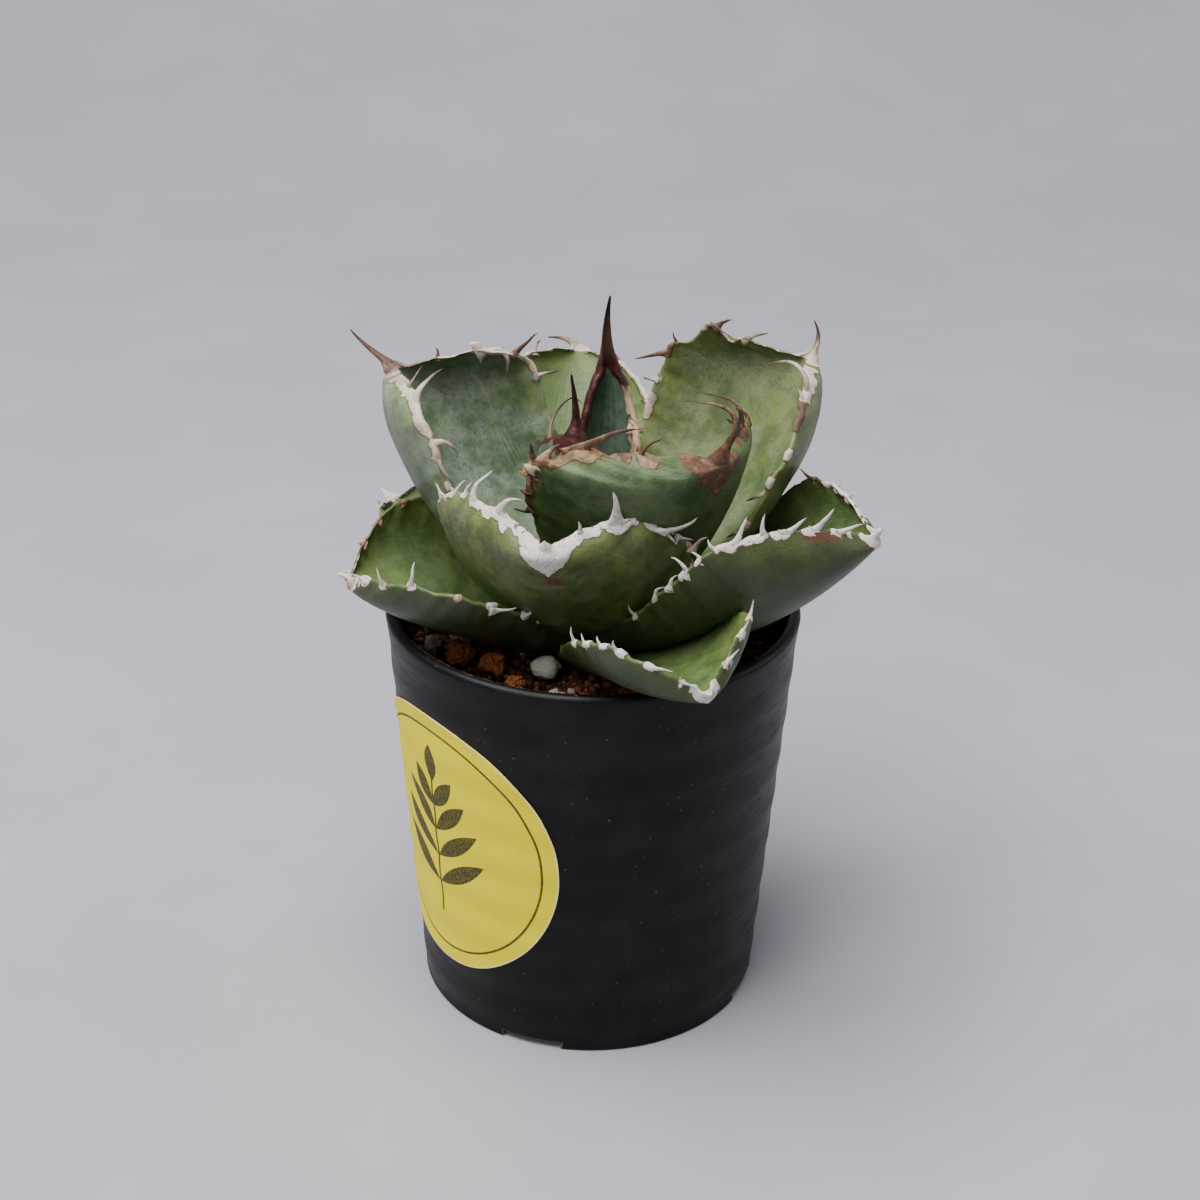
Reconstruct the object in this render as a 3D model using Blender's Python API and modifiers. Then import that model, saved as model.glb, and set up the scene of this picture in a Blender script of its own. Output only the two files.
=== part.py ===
"""Potted agave: a rosette of cupped, toothed leaves growing in a round nursery pot.

Metres, +Z up. The pot stands on Z = 0. Everything is first laid out round the pot's own axis and
then hangs from one empty, which puts the middle of the whole footprint on the origin.
Run with: blender --background --python part.py
"""
import math
import random

import bmesh
import bpy
from mathutils import Matrix, Vector
from mathutils.bvhtree import BVHTree

MM = 0.001
GAP = 0.3 * MM  # air between pieces that touch

# ---- pot -------------------------------------------------------------------------------------
POT_HEIGHT = 107.5 * MM
POT_TOP_RADIUS = 52.5 * MM  # outside, at the rim
POT_FOOT_RADIUS = 44.3 * MM  # outside, at the foot
POT_WALL = 2.0 * MM
POT_FLOOR = 2.0 * MM
FOOT_HEIGHT = 3.0 * MM  # the floor is this far above what the pot stands on
RIM_WIDTH = 3.2 * MM
RING_PITCH = 12.0 * MM  # faint rings round the wall
RING_DEPTH = 0.25 * MM
NOTCH_WIDTH = 16.0 * MM
NOTCH_HEIGHT = 2.0 * MM
NOTCH_COUNT = 4
NOTCH_TURN = 251.0  # degrees
CENTRE_HOLE_RADIUS = 6.0 * MM
DRAIN_RADIUS = 4.0 * MM
DRAIN_CIRCLE = 27.0 * MM
DRAIN_COUNT = 4
POT_STEPS = 56

# ---- sticker ---------------------------------------------------------------------------------
LABEL_RADIUS = 36.8 * MM
LABEL_THICKNESS = 0.25 * MM
LABEL_RAISE = 0.75 * MM  # its centre above the middle of the wall
LABEL_TURN = 218.0
LABEL_STRIPS = 28

# ---- soil and what grows in it ---------------------------------------------------------------
SOIL_DROP = 12.5 * MM  # from the rim down to the soil
STEM_RISE = 12.0 * MM  # the stem's top above the soil
STEM_TOP_RADIUS = 2.4 * MM
STEM_NECK_DEPTH = 1.0 * MM  # where it is thickest, below the soil's surface
STEM_NECK_LENGTH = 6.0 * MM
STEM_NECK_RADIUS = 8.5 * MM
STEM_DEPTH = 23.0 * MM  # its foot below the soil's surface
STEM_FOOT_RADIUS = 6.0 * MM
STEM_FOOT_ROUND = 3.0 * MM
ROOT_COUNT = 5
ROOT_RADIUS = 1.8 * MM
ROOT_END_RADIUS = 0.6 * MM
ROOT_DROP = 42.0 * MM
ROOT_SPREAD = 22.0 * MM
BUD_RISE = 10.0 * MM  # its foot above the soil
BUD_HEIGHT = 36.0 * MM
BUD_RADIUS = 3.8 * MM

# ---- leaves ----------------------------------------------------------------------------------
SPIRAL_STEP = -137.5  # degrees from one leaf to the next older one
SPIRAL_START = 222.5
LEAF_RISE = 11.9 * MM  # where the youngest leaf leaves the stem, above the soil
LEAF_STEP = 1.05 * MM  # each older leaf leaves the stem this much lower
LEAF_OUT = 3.0 * MM  # from the axis to the foot of the youngest leaf
LEAF_OUT_STEP = 0.7 * MM
LEAF_BASE_THICKNESS = 5.5 * MM
LEAF_TIP_THICKNESS = 2.8 * MM
LEAF_EDGE_THICKNESS = 1.2 * MM
BLADE_ROWS = 12
SPINE_ROWS = 4
LEAF_STRIPS = 6
MARGIN_BLUNTNESS = 1.8

# Youngest to oldest. turn: degrees off the even spiral. length, width and spine in millimetres.
# rise: slope of the midrib in degrees at its foot and at its tip. cup: half the angle that the
# blade wraps round, at the foot and at the tip. sway: sideways turn of the midrib along the leaf.
# roll: twist along the leaf. foot: width of the foot as a share. shoulder: where along the leaf
# it is widest. blunt: how square the end is. skew: how much the first half is wider than the
# second. point: slope of the spine's end. veer: sideways turn of the spine's end.
LEAVES = [
    dict(name="leaf_bud_front", turn=4, length=47, width=33, rise=(70, 100), cup=(72, 55), sway=0,
         roll=18, foot=0.7, shoulder=0.6, blunt=2.1, skew=0.2, spine=17, point=78, veer=-5),
    dict(name="leaf_centre", turn=-7, length=60, width=20, rise=(66, 91), cup=(67, 78), sway=5,
         roll=16, foot=0.6, shoulder=0.45, blunt=1.9, skew=0.0, spine=20, point=105, veer=0),
    dict(name="leaf_inner_front", turn=5, length=66, width=69, rise=(37, 75), cup=(67, 58), sway=2,
         roll=4, foot=0.5, shoulder=0.9, blunt=2.9, skew=0.25, spine=15, point=55, veer=14),
    dict(name="leaf_left_high", turn=-12, length=77, width=68, rise=(27, 70), cup=(48, 91), sway=-4,
         roll=-1, foot=0.5, shoulder=0.8, blunt=2.4, skew=0.05, spine=15, point=24, veer=20),
    dict(name="leaf_right_high", turn=-11, length=82, width=69, rise=(31, 71), cup=(34, 72), sway=0,
         roll=8, foot=0.5, shoulder=0.75, blunt=2.4, skew=-0.05, spine=10, point=73, veer=0),
    dict(name="leaf_front", turn=1, length=61, width=72, rise=(36, 52), cup=(35, 76), sway=4,
         roll=4, foot=0.5, shoulder=0.55, blunt=2.1, skew=0.1, spine=3, point=60, veer=0),
    dict(name="leaf_back", turn=-19, length=76, width=54, rise=(32, 52), cup=(40, 53), sway=-10,
         roll=2, foot=0.5, shoulder=0.6, blunt=2.4, skew=-0.2, spine=13, point=-10, veer=60),
    dict(name="leaf_right_low", turn=-1, length=76, width=71, rise=(14, 50), cup=(46, 88), sway=-7,
         roll=13, foot=0.5, shoulder=0.7, blunt=1.8, skew=0.15, spine=4, point=41, veer=0),
    dict(name="leaf_left_low", turn=-5, length=57, width=58, rise=(20, 26), cup=(62, 73), sway=-3,
         roll=-11, foot=0.5, shoulder=0.65, blunt=2.4, skew=0.0, spine=4, point=20, veer=0),
    dict(name="leaf_back_low_right", turn=0, length=70, width=54, rise=(18, 32), cup=(50, 65), sway=4,
         roll=5, foot=0.5, shoulder=0.65, blunt=2.2, skew=0.05, spine=6, point=45, veer=0),
    dict(name="leaf_front_low", turn=5, length=62, width=47, rise=(26, 11), cup=(20, 79), sway=-1,
         roll=11, foot=0.5, shoulder=0.8, blunt=2.0, skew=0.1, spine=3, point=10, veer=0),
    dict(name="leaf_back_low_left", turn=0, length=57, width=48, rise=(24, 26), cup=(40, 65), sway=-4,
         roll=-6, foot=0.5, shoulder=0.65, blunt=2.2, skew=0.0, spine=5, point=32, veer=0),
]

# Loose grains on the soil: kind, turn in degrees, middle in from the wall and size, in millimetres.
GRAINS = [
    ("akadama", 171.2, 7.0, 7.0),
    ("pumice", 189.8, 8.4, 5.0),
    ("akadama", 203.7, 13.5, 8.5),
    ("pumice", 185.3, 16.9, 8.0),
    ("akadama", 218.5, 18.2, 7.0),
    ("akadama", 235.4, 16.1, 6.0),
    ("perlite", 240.1, 26.5, 7.0),
    ("akadama", 227.6, 10.3, 5.0),
    ("pumice", 256.4, 15.6, 4.5),
    ("akadama", 273.7, 11.0, 4.5),
    ("akadama", 12.8, 4.4, 5.0),
    ("pumice", 29.7, 5.2, 5.5),
]
GRAIN_SEED = 7
LEAF_LIFT_STEP = 1  # degrees that a low leaf turns up by, until it clears the pot
LEAF_LIFT_LIMIT = 60
GRAIN_TURN_STEP = 4  # degrees that a grain moves round the wall by, until it lies clear
GRAIN_INSET_STEP = 1.0  # millimetres that it then moves nearer to the wall by
GRAIN_REACH = 0.7  # the furthest a rough grain reaches from its middle, as a share of its size

LOOKS = {
    "pot": ((0.012, 0.014, 0.017, 1), 0.42),
    "label": ((0.72, 0.62, 0.06, 1), 0.55),
    "soil": ((0.025, 0.014, 0.009, 1), 0.95),
    "akadama": ((0.26, 0.10, 0.035, 1), 0.95),
    "pumice": ((0.34, 0.27, 0.24, 1), 0.9),
    "perlite": ((0.62, 0.59, 0.54, 1), 0.85),
    "stem": ((0.16, 0.11, 0.05, 1), 0.8),
    "leaf": ((0.07, 0.125, 0.045, 1), 0.55),
}

SOIL_HEIGHT = POT_HEIGHT - SOIL_DROP
FLOOR_TOP = FOOT_HEIGHT + POT_FLOOR
LABEL_HEIGHT = POT_HEIGHT / 2 + LABEL_RAISE
STEM_TOP = SOIL_HEIGHT + STEM_RISE
STEM_NECK = SOIL_HEIGHT - STEM_NECK_DEPTH
STEM_FOOT = SOIL_HEIGHT - STEM_DEPTH
BUD_FOOT = SOIL_HEIGHT + BUD_RISE
LEAF_TOP = SOIL_HEIGHT + LEAF_RISE


def clear_scene():
    for obj in list(bpy.data.objects):
        bpy.data.objects.remove(obj, do_unlink=True)


def new_material(name):
    colour, roughness = LOOKS[name]
    material = bpy.data.materials.new(name)
    material.use_nodes = True
    shader = material.node_tree.nodes["Principled BSDF"]
    shader.inputs["Base Color"].default_value = colour
    shader.inputs["Roughness"].default_value = roughness
    shader.inputs["Metallic"].default_value = 0.0
    return material


def new_object(name, mesh, collection, look=None):
    obj = bpy.data.objects.new(name, mesh)
    collection.objects.link(obj)
    if look:
        mesh.materials.clear()
        mesh.materials.append(new_material(look))
    return obj


def mesh_from(bm, name, smooth_angle=None):
    bmesh.ops.recalc_face_normals(bm, faces=bm.faces)
    if bm.calc_volume(signed=True) < 0:
        bmesh.ops.reverse_faces(bm, faces=bm.faces)
    mesh = bpy.data.meshes.new(name)
    bm.to_mesh(mesh)
    bm.free()
    if smooth_angle:
        mesh.shade_smooth()
        mesh.set_sharp_from_angle(angle=math.radians(smooth_angle))
    return mesh


def loft(rings, name, smooth_angle=50):
    """A closed solid through rings that have the same number of points, capped at both ends."""
    bm = bmesh.new()
    loops = [[bm.verts.new(point) for point in ring] for ring in rings]
    for near, far in zip(loops, loops[1:]):
        count = len(near)
        for i in range(count):
            j = (i + 1) % count
            bm.faces.new((near[i], near[j], far[j], far[i]))
    bm.faces.new(loops[0][::-1])
    bm.faces.new(loops[-1])
    bmesh.ops.triangulate(bm, faces=bm.faces)
    return mesh_from(bm, name, smooth_angle)


def turned(name, outline, collection, look, closed, steps=POT_STEPS):
    """A solid turned about Z from an outline of (radius, height), outer side first, top down."""
    mesh = bpy.data.meshes.new(name)
    points = [(radius, 0.0, height) for radius, height in outline]
    edges = [(i, i + 1) for i in range(len(points) - 1)]
    if closed:
        edges.append((len(points) - 1, 0))
    mesh.from_pydata(points, edges, [])
    obj = new_object(name, mesh, collection, look)
    screw = obj.modifiers.new("turn", "SCREW")
    screw.axis = "Z"
    screw.angle = 2 * math.pi
    screw.steps = steps
    screw.render_steps = steps
    screw.use_merge_vertices = True
    screw.merge_threshold = 0.00001
    screw.use_smooth_shade = True
    return obj


def settle(obj):
    """Turn an object's modifiers into its own mesh."""
    graph = bpy.context.evaluated_depsgraph_get()
    mesh = bpy.data.meshes.new_from_object(obj.evaluated_get(graph), depsgraph=graph)
    mesh.name = obj.name
    obj.modifiers.clear()
    obj.data = mesh


def combine(obj, others, operation):
    for other in others:
        step = obj.modifiers.new(operation.lower(), "BOOLEAN")
        step.operation = operation
        step.solver = "EXACT"
        step.object = other
    settle(obj)


def parts_of(bm):
    """The loose parts of a mesh, each a list of faces."""
    seen = set()
    parts = []
    for start in bm.faces:
        if start in seen:
            continue
        seen.add(start)
        part = [start]
        for face in part:
            for edge in face.edges:
                for near in edge.link_faces:
                    if near not in seen:
                        seen.add(near)
                        part.append(near)
        parts.append(part)
    return parts


def spread(faces):
    return sum(face.calc_area() for face in faces)


def keep_largest(obj):
    """Drop the chips that a cut leaves beside the main piece."""
    bm = bmesh.new()
    bm.from_mesh(obj.data)
    bmesh.ops.dissolve_degenerate(bm, edges=bm.edges, dist=0.0005 * MM)
    parts = sorted(parts_of(bm), key=spread, reverse=True)
    for part in parts[1:]:
        bmesh.ops.delete(bm, geom=part, context="FACES")
    bmesh.ops.delete(bm, geom=[v for v in bm.verts if not v.link_faces], context="VERTS")
    bmesh.ops.triangulate(bm, faces=bm.faces)
    bm.to_mesh(obj.data)
    bm.free()
    obj.data.shade_smooth()
    obj.data.set_sharp_from_angle(angle=math.radians(50))


def box_of(obj):
    corners = [obj.matrix_world @ vertex.co for vertex in obj.data.vertices]
    low = Vector([min(c[i] for c in corners) for i in range(3)])
    high = Vector([max(c[i] for c in corners) for i in range(3)])
    return low, high


def near_each_other(one, other):
    low, high = box_of(one)
    other_low, other_high = box_of(other)
    return all(low[i] < other_high[i] and other_low[i] < high[i] for i in range(3))


def surface_of(obj):
    bm = bmesh.new()
    bm.from_mesh(obj.data)
    bm.transform(obj.matrix_world)
    surface = BVHTree.FromBMesh(bm)
    bm.free()
    return surface


def touches(one, others):
    surface = surface_of(one)
    return any(near_each_other(one, other) and surface.overlap(surface_of(other)) for other in others)


def cut_clear(obj, cutters):
    """Cut an object back by each cutter that reaches it, and keep its main piece."""
    reached = [cutter for cutter in cutters if near_each_other(obj, cutter)]
    for cutter in reached:
        combine(obj, [cutter], "DIFFERENCE")
    keep_largest(obj)


# ---- pot -------------------------------------------------------------------------------------
def wall_radius(height):
    """Outside of the pot's tapered wall, without its rings."""
    return POT_FOOT_RADIUS + (POT_TOP_RADIUS - POT_FOOT_RADIUS) * height / POT_HEIGHT


def inner_radius(height):
    return wall_radius(height) - POT_WALL


def pot_outline():
    bead = RIM_WIDTH / 2
    bead_radius = POT_TOP_RADIUS - bead
    bead_height = POT_HEIGHT - bead
    bead_steps = 6
    points = []
    for step in range(bead_steps + 1):
        angle = math.pi * (1 - step / bead_steps)
        points.append((bead_radius + bead * math.cos(angle), bead_height + bead * math.sin(angle)))
    ring_count = int((POT_HEIGHT - RIM_WIDTH) / RING_PITCH)
    for ring in range(ring_count):
        crest = POT_HEIGHT - RIM_WIDTH - ring * RING_PITCH
        trough = crest - RING_PITCH / 2
        points.append((wall_radius(crest), crest))
        points.append((wall_radius(trough) - RING_DEPTH, trough))
    chamfer = 0.5 * MM
    points.append((POT_FOOT_RADIUS, chamfer))
    points.append((POT_FOOT_RADIUS - chamfer, 0.0))
    points.append((inner_radius(0.0), 0.0))
    points.append((inner_radius(FOOT_HEIGHT) - chamfer, FOOT_HEIGHT))
    points.append((CENTRE_HOLE_RADIUS, FOOT_HEIGHT))
    points.append((CENTRE_HOLE_RADIUS, FLOOR_TOP))
    points.append((inner_radius(FLOOR_TOP), FLOOR_TOP))
    bead_root = POT_HEIGHT - 2 * RIM_WIDTH
    points.append((inner_radius(bead_root), bead_root))
    return points


def make_pot(collection, cutters):
    pot = turned("pot", pot_outline(), collection, "pot", closed=True)
    tools = []
    for index in range(NOTCH_COUNT):
        turn = math.radians(NOTCH_TURN + 360 * index / NOTCH_COUNT)
        bpy.ops.mesh.primitive_cube_add(size=1)
        notch = bpy.context.object
        notch.scale = (4 * POT_WALL, NOTCH_WIDTH, 2 * NOTCH_HEIGHT)
        notch.rotation_euler = (0, 0, turn)
        reach = POT_FOOT_RADIUS - POT_WALL / 2
        notch.location = (reach * math.cos(turn), reach * math.sin(turn), 0)
        notch.name = f"notch_cutter_{index + 1}"
        tools.append(notch)
    for index in range(DRAIN_COUNT):
        turn = math.radians(NOTCH_TURN + 45 + 360 * index / DRAIN_COUNT)
        place = (DRAIN_CIRCLE * math.cos(turn), DRAIN_CIRCLE * math.sin(turn), FOOT_HEIGHT)
        bpy.ops.mesh.primitive_cylinder_add(
            vertices=16, radius=DRAIN_RADIUS, depth=4 * POT_FLOOR, location=place)
        drain = bpy.context.object
        drain.name = f"drain_cutter_{index + 1}"
        tools.append(drain)
    for tool in tools:
        move_to(tool, cutters)
    bpy.context.view_layer.update()
    combine(pot, tools, "DIFFERENCE")
    return pot


def move_to(obj, collection):
    for owner in list(obj.users_collection):
        owner.objects.unlink(obj)
    collection.objects.link(obj)
    obj.hide_render = True
    obj.display_type = "WIRE"


def make_label(collection):
    """A round sticker bent round the wall: upright strips, each a chord of the circle."""
    rings = []
    for strip in range(LABEL_STRIPS + 1):
        angle = math.radians(-84 + 168 * strip / LABEL_STRIPS)
        across = LABEL_RADIUS * math.sin(angle)
        half_chord = LABEL_RADIUS * math.cos(angle)
        turn = math.radians(LABEL_TURN) + across / wall_radius(LABEL_HEIGHT)
        ring = []
        for height, lift in ((1, 0), (-1, 0), (-1, LABEL_THICKNESS), (1, LABEL_THICKNESS)):
            z = LABEL_HEIGHT + height * half_chord
            radius = wall_radius(z) + GAP + lift
            ring.append((radius * math.cos(turn), radius * math.sin(turn), z))
        rings.append(ring)
    return new_object("label", loft(rings, "label", 30), collection, "label")


# ---- stem, roots and bud ---------------------------------------------------------------------
def stem_outline(grow):
    return [
        (0.0, STEM_TOP + grow),
        (STEM_TOP_RADIUS + grow, STEM_TOP + grow),
        (STEM_NECK_RADIUS + grow, STEM_NECK),
        (STEM_NECK_RADIUS + grow, STEM_NECK - STEM_NECK_LENGTH),
        (STEM_FOOT_RADIUS + grow, STEM_FOOT),
        (0.45 * STEM_FOOT_RADIUS + grow, STEM_FOOT - STEM_FOOT_ROUND - grow),
        (0.0, STEM_FOOT - STEM_FOOT_ROUND - grow),
    ]


def root_rings(index, grow):
    """A root: a tapering tube that dives out of the stem's foot and bends down."""
    turn = math.radians(360 * index / ROOT_COUNT + 20)
    start_out = 0.4 * STEM_FOOT_RADIUS
    steps = 7
    sides = 8
    rings = []
    for step in range(steps + 1):
        t = step / steps
        out = start_out + ROOT_SPREAD * math.sin(t * math.pi / 2)
        swing = turn + 0.35 * t * math.sin(3 * index + 1)
        centre = Vector((out * math.cos(swing), out * math.sin(swing),
                         STEM_FOOT + 4 * MM - ROOT_DROP * t ** 1.4))
        radius = ROOT_RADIUS + (ROOT_END_RADIUS - ROOT_RADIUS) * t + grow
        outward = Vector((math.cos(swing), math.sin(swing), 0))
        across = Vector((-math.sin(swing), math.cos(swing), 0))
        dive = math.atan2(ROOT_DROP * 1.4 * t ** 0.4, ROOT_SPREAD * math.cos(t * math.pi / 2) + MM)
        lift = Vector((0, 0, 1)) * math.cos(dive) + outward * math.sin(dive)
        ring = []
        for side in range(sides):
            angle = 2 * math.pi * side / sides
            ring.append(centre + radius * (across * math.cos(angle) + lift * math.sin(angle)))
        rings.append(ring)
    return rings


def make_stem(name, collection, grow=0.0, look="stem"):
    stem = turned(name, stem_outline(grow), collection, look, closed=False, steps=20)
    settle(stem)
    roots = []
    for index in range(ROOT_COUNT):
        root = new_object(f"{name}_root_{index + 1}", loft(root_rings(index, grow), "root"), collection)
        roots.append(root)
    bpy.context.view_layer.update()
    combine(stem, roots, "UNION")
    for root in roots:
        bpy.data.objects.remove(root, do_unlink=True)
    keep_largest(stem)
    return stem


def bud_outline(grow):
    points = [(0.0, BUD_FOOT + BUD_HEIGHT + grow)]
    steps = 7
    for step in range(1, steps + 1):
        t = step / steps
        radius = BUD_RADIUS * math.sin(math.pi * min(1.0, 0.12 + 0.6 * t)) ** 0.8
        points.append((radius * min(1.0, 1.6 * t) + grow, BUD_FOOT + BUD_HEIGHT * (1 - t)))
    points.append((0.0, BUD_FOOT))
    return points


def make_bud(name, collection, grow=0.0):
    bud = turned(name, bud_outline(grow), collection, "leaf", closed=False, steps=16)
    settle(bud)
    return bud


# ---- leaves ----------------------------------------------------------------------------------
def mix(a, b, t):
    return a + (b - a) * t


def blade_share(leaf, u):
    """Half-width of the blade at u along it, as a share of its widest."""
    if u < leaf["shoulder"]:
        swell = math.sin(math.pi / 2 * u / leaf["shoulder"]) ** 1.3
        return mix(leaf["foot"], 1.0, swell)
    t = (u - leaf["shoulder"]) / (1 - leaf["shoulder"])
    return max(0.0, 1 - t ** leaf["blunt"]) ** (1 / MARGIN_BLUNTNESS)


def leaf_axes(slope, turn, roll):
    """Along, across and towards the upper face, for a midrib of this slope and turn."""
    along = Vector((math.cos(slope) * math.cos(turn), math.cos(slope) * math.sin(turn), math.sin(slope)))
    across = Vector((-math.sin(turn), math.cos(turn), 0.0))
    upper = along.cross(across)
    rolled_across = across * math.cos(roll) + upper * math.sin(roll)
    rolled_upper = upper * math.cos(roll) - across * math.sin(roll)
    return along, rolled_across, rolled_upper


def leaf_ring(centre, across, upper, half, wrap, skew, middle, edge, grow):
    """One section of a leaf: its upper face from edge to edge, then its lower face back."""
    bend = half / wrap
    top = []
    under = []
    for strip in range(LEAF_STRIPS + 1):
        v = 2 * strip / LEAF_STRIPS - 1
        angle = (wrap * (1 - skew * v) + min(grow / bend, 0.5)) * v
        face = centre + across * (bend * math.sin(angle)) + upper * (bend * (1 - math.cos(angle)))
        inward = upper * math.cos(angle) - across * math.sin(angle)
        depth = mix(middle, edge, v * v)
        top.append(face + inward * min(grow, 0.5 * bend))
        under.append(face - inward * (depth + grow))
    return top + under[::-1]


def leaf_rings(leaf, index, grow=0.0):
    """Sections of a leaf from its foot on the stem to the point of its spine."""
    length = leaf["length"] * MM
    foot_turn = math.radians(SPIRAL_START + SPIRAL_STEP * index + leaf["turn"])
    rise = [math.radians(angle) for angle in leaf["rise"]]
    cup = [math.radians(angle) for angle in leaf["cup"]]
    sway = math.radians(leaf["sway"])
    roll = math.radians(leaf["roll"])
    out = LEAF_OUT + LEAF_OUT_STEP * index
    centre = Vector((out * math.cos(foot_turn), out * math.sin(foot_turn), LEAF_TOP - LEAF_STEP * index))
    spine_half = min(2.4, 0.1 * leaf["width"]) * MM
    rings = []
    fine = 10  # short steps of the midrib between two sections
    for row in range(BLADE_ROWS + 1):
        u = 1 - (1 - row / BLADE_ROWS) ** 1.5
        if row:
            for step in range(fine):
                t = mix(last_u, u, (step + 0.5) / fine)
                along = leaf_axes(mix(*rise, t), foot_turn + sway * t, roll * t)[0]
                centre = centre + along * (length * (u - last_u) / fine)
        last_u = u
        along, across, upper = leaf_axes(mix(*rise, u), foot_turn + sway * u, roll * u)
        half = max(leaf["width"] / 2 * MM * blade_share(leaf, u), spine_half)
        wrap = mix(*cup, u)
        middle = mix(LEAF_BASE_THICKNESS, LEAF_TIP_THICKNESS, u)
        start = centre - along * grow if row == 0 else centre
        rings.append(leaf_ring(start, across, upper, half, wrap, leaf["skew"], middle,
                               LEAF_EDGE_THICKNESS, grow))
    tip_turn = foot_turn + sway
    wrap = min(cup[1], math.radians(55))
    for row in range(1, SPINE_ROWS + 1):
        t = row / SPINE_ROWS
        slope = mix(rise[1], math.radians(leaf["point"]), math.sqrt(t))
        turn = tip_turn + math.radians(leaf["veer"]) * math.sqrt(t)
        along, across, upper = leaf_axes(slope, turn, roll)
        centre = centre + along * (leaf["spine"] * MM / SPINE_ROWS)
        half = mix(spine_half, 0.25 * MM, t ** 0.8)
        rings.append(leaf_ring(centre, across, upper, half, wrap, 0.0, 1.2 * half, 0.5 * half, grow))
    return rings


def clear_of_pot(leaf, index, pot, cutters):
    """The leaf turned up at its foot until its grown copy clears the pot, and that copy."""
    for lift in range(0, LEAF_LIFT_LIMIT, LEAF_LIFT_STEP):
        lifted = dict(leaf, rise=[angle + lift for angle in leaf["rise"]])
        name = f"{leaf['name']}_cutter"
        tool = new_object(name, loft(leaf_rings(lifted, index, GAP), name), cutters)
        bpy.context.view_layer.update()
        if not touches(tool, [pot]) or lift + LEAF_LIFT_STEP >= LEAF_LIFT_LIMIT:
            return lifted, tool
        bpy.data.objects.remove(tool)


def make_leaves(collection, cutters, first_tools, pot):
    """Youngest first: each older leaf is cut back where a younger one presses into it."""
    tools = list(first_tools)
    for index, leaf in enumerate(LEAVES):
        name = leaf["name"]
        leaf, tool = clear_of_pot(leaf, index, pot, cutters)
        blade = new_object(name, loft(leaf_rings(leaf, index), name), collection, "leaf")
        bpy.context.view_layer.update()
        cut_clear(blade, tools)
        tools.append(tool)
    return tools


# ---- soil and grains -------------------------------------------------------------------------
def make_soil(collection, tools):
    floor = FLOOR_TOP + GAP
    outline = [
        (0.0, SOIL_HEIGHT),
        (inner_radius(SOIL_HEIGHT) - GAP, SOIL_HEIGHT),
        (inner_radius(floor) - GAP, floor),
        (0.0, floor),
    ]
    soil = turned("soil", outline, collection, "soil", closed=False)
    settle(soil)
    bpy.context.view_layer.update()
    cut_clear(soil, tools)
    return soil


def grain_places(turn, inset, size):
    """A grain's own place on the soil, then those round the wall, then the same nearer to the wall."""
    closest = GRAIN_REACH * size + GAP / MM
    while inset >= closest:
        out = inner_radius(SOIL_HEIGHT) - inset * MM
        for shift in range(0, 360, GRAIN_TURN_STEP):
            angle = math.radians(turn + shift)
            yield out * math.cos(angle), out * math.sin(angle)
        inset -= GRAIN_INSET_STEP


def make_grains(collection, plant):
    """Loose grains, each moved on round the wall until it lies clear of the plant and the others."""
    chance = random.Random(GRAIN_SEED)
    counts = {}
    laid = []
    for kind, turn, inset, size in GRAINS:
        counts[kind] = counts.get(kind, 0) + 1
        name = f"{kind}_{counts[kind]}"
        bm = bmesh.new()
        bmesh.ops.create_icosphere(bm, subdivisions=2, radius=size / 2 * MM)
        roughness = 0.05 if kind == "perlite" else 0.16
        stretch = Vector((chance.uniform(0.9, 1.15), chance.uniform(0.85, 1.0), chance.uniform(0.75, 0.95)))
        for vertex in bm.verts:
            vertex.co *= 1 + chance.uniform(-roughness, roughness)
            vertex.co = Vector([a * b for a, b in zip(vertex.co, stretch)])
        bmesh.ops.rotate(bm, verts=bm.verts, matrix=Matrix.Rotation(chance.uniform(0, 6.28), 3, "Z"))
        lowest = min(vertex.co.z for vertex in bm.verts)
        grain = new_object(name, mesh_from(bm, name), collection, kind)
        for right, behind in grain_places(turn, inset, size):
            grain.location = (right, behind, SOIL_HEIGHT + GAP - lowest)
            bpy.context.view_layer.update()
            if not touches(grain, plant + laid):
                break
        laid.append(grain)


def hang_from_middle(collection):
    """Parent every piece to an empty that carries the footprint's middle to the origin."""
    bpy.context.view_layer.update()
    boxes = [box_of(obj) for obj in collection.objects]
    low = [min(box[0][i] for box in boxes) for i in range(3)]
    high = [max(box[1][i] for box in boxes) for i in range(3)]
    middle = bpy.data.objects.new("potted_agave_middle", None)
    middle.location = (-(low[0] + high[0]) / 2, -(low[1] + high[1]) / 2, -low[2])
    for obj in collection.objects:
        obj.parent = middle
    collection.objects.link(middle)


def build():
    clear_scene()
    collection = bpy.data.collections.new("potted_agave")
    cutters = bpy.data.collections.new("cutters")
    bpy.context.scene.collection.children.link(collection)
    bpy.context.scene.collection.children.link(cutters)
    pot = make_pot(collection, cutters)
    make_label(collection)
    make_stem("stem_and_roots", collection)
    stem_tool = make_stem("stem_cutter", cutters, GAP)
    bud = make_bud("bud", collection)
    bpy.context.view_layer.update()
    cut_clear(bud, [stem_tool])
    bud_tool = make_bud("bud_cutter", cutters, GAP)
    tools = make_leaves(collection, cutters, [stem_tool, bud_tool], pot)
    make_soil(collection, tools)
    make_grains(collection, tools)
    for tool in cutters.objects:
        tool.hide_render = True
        tool.display_type = "WIRE"
    hang_from_middle(collection)


build()
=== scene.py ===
"""The finished look of a small agave with horned leaf margins in a black nursery pot."""
import math
import random

import bmesh
import bpy
import numpy as np
from mathutils import Matrix, Vector, noise
from mathutils.bvhtree import BVHTree


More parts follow.
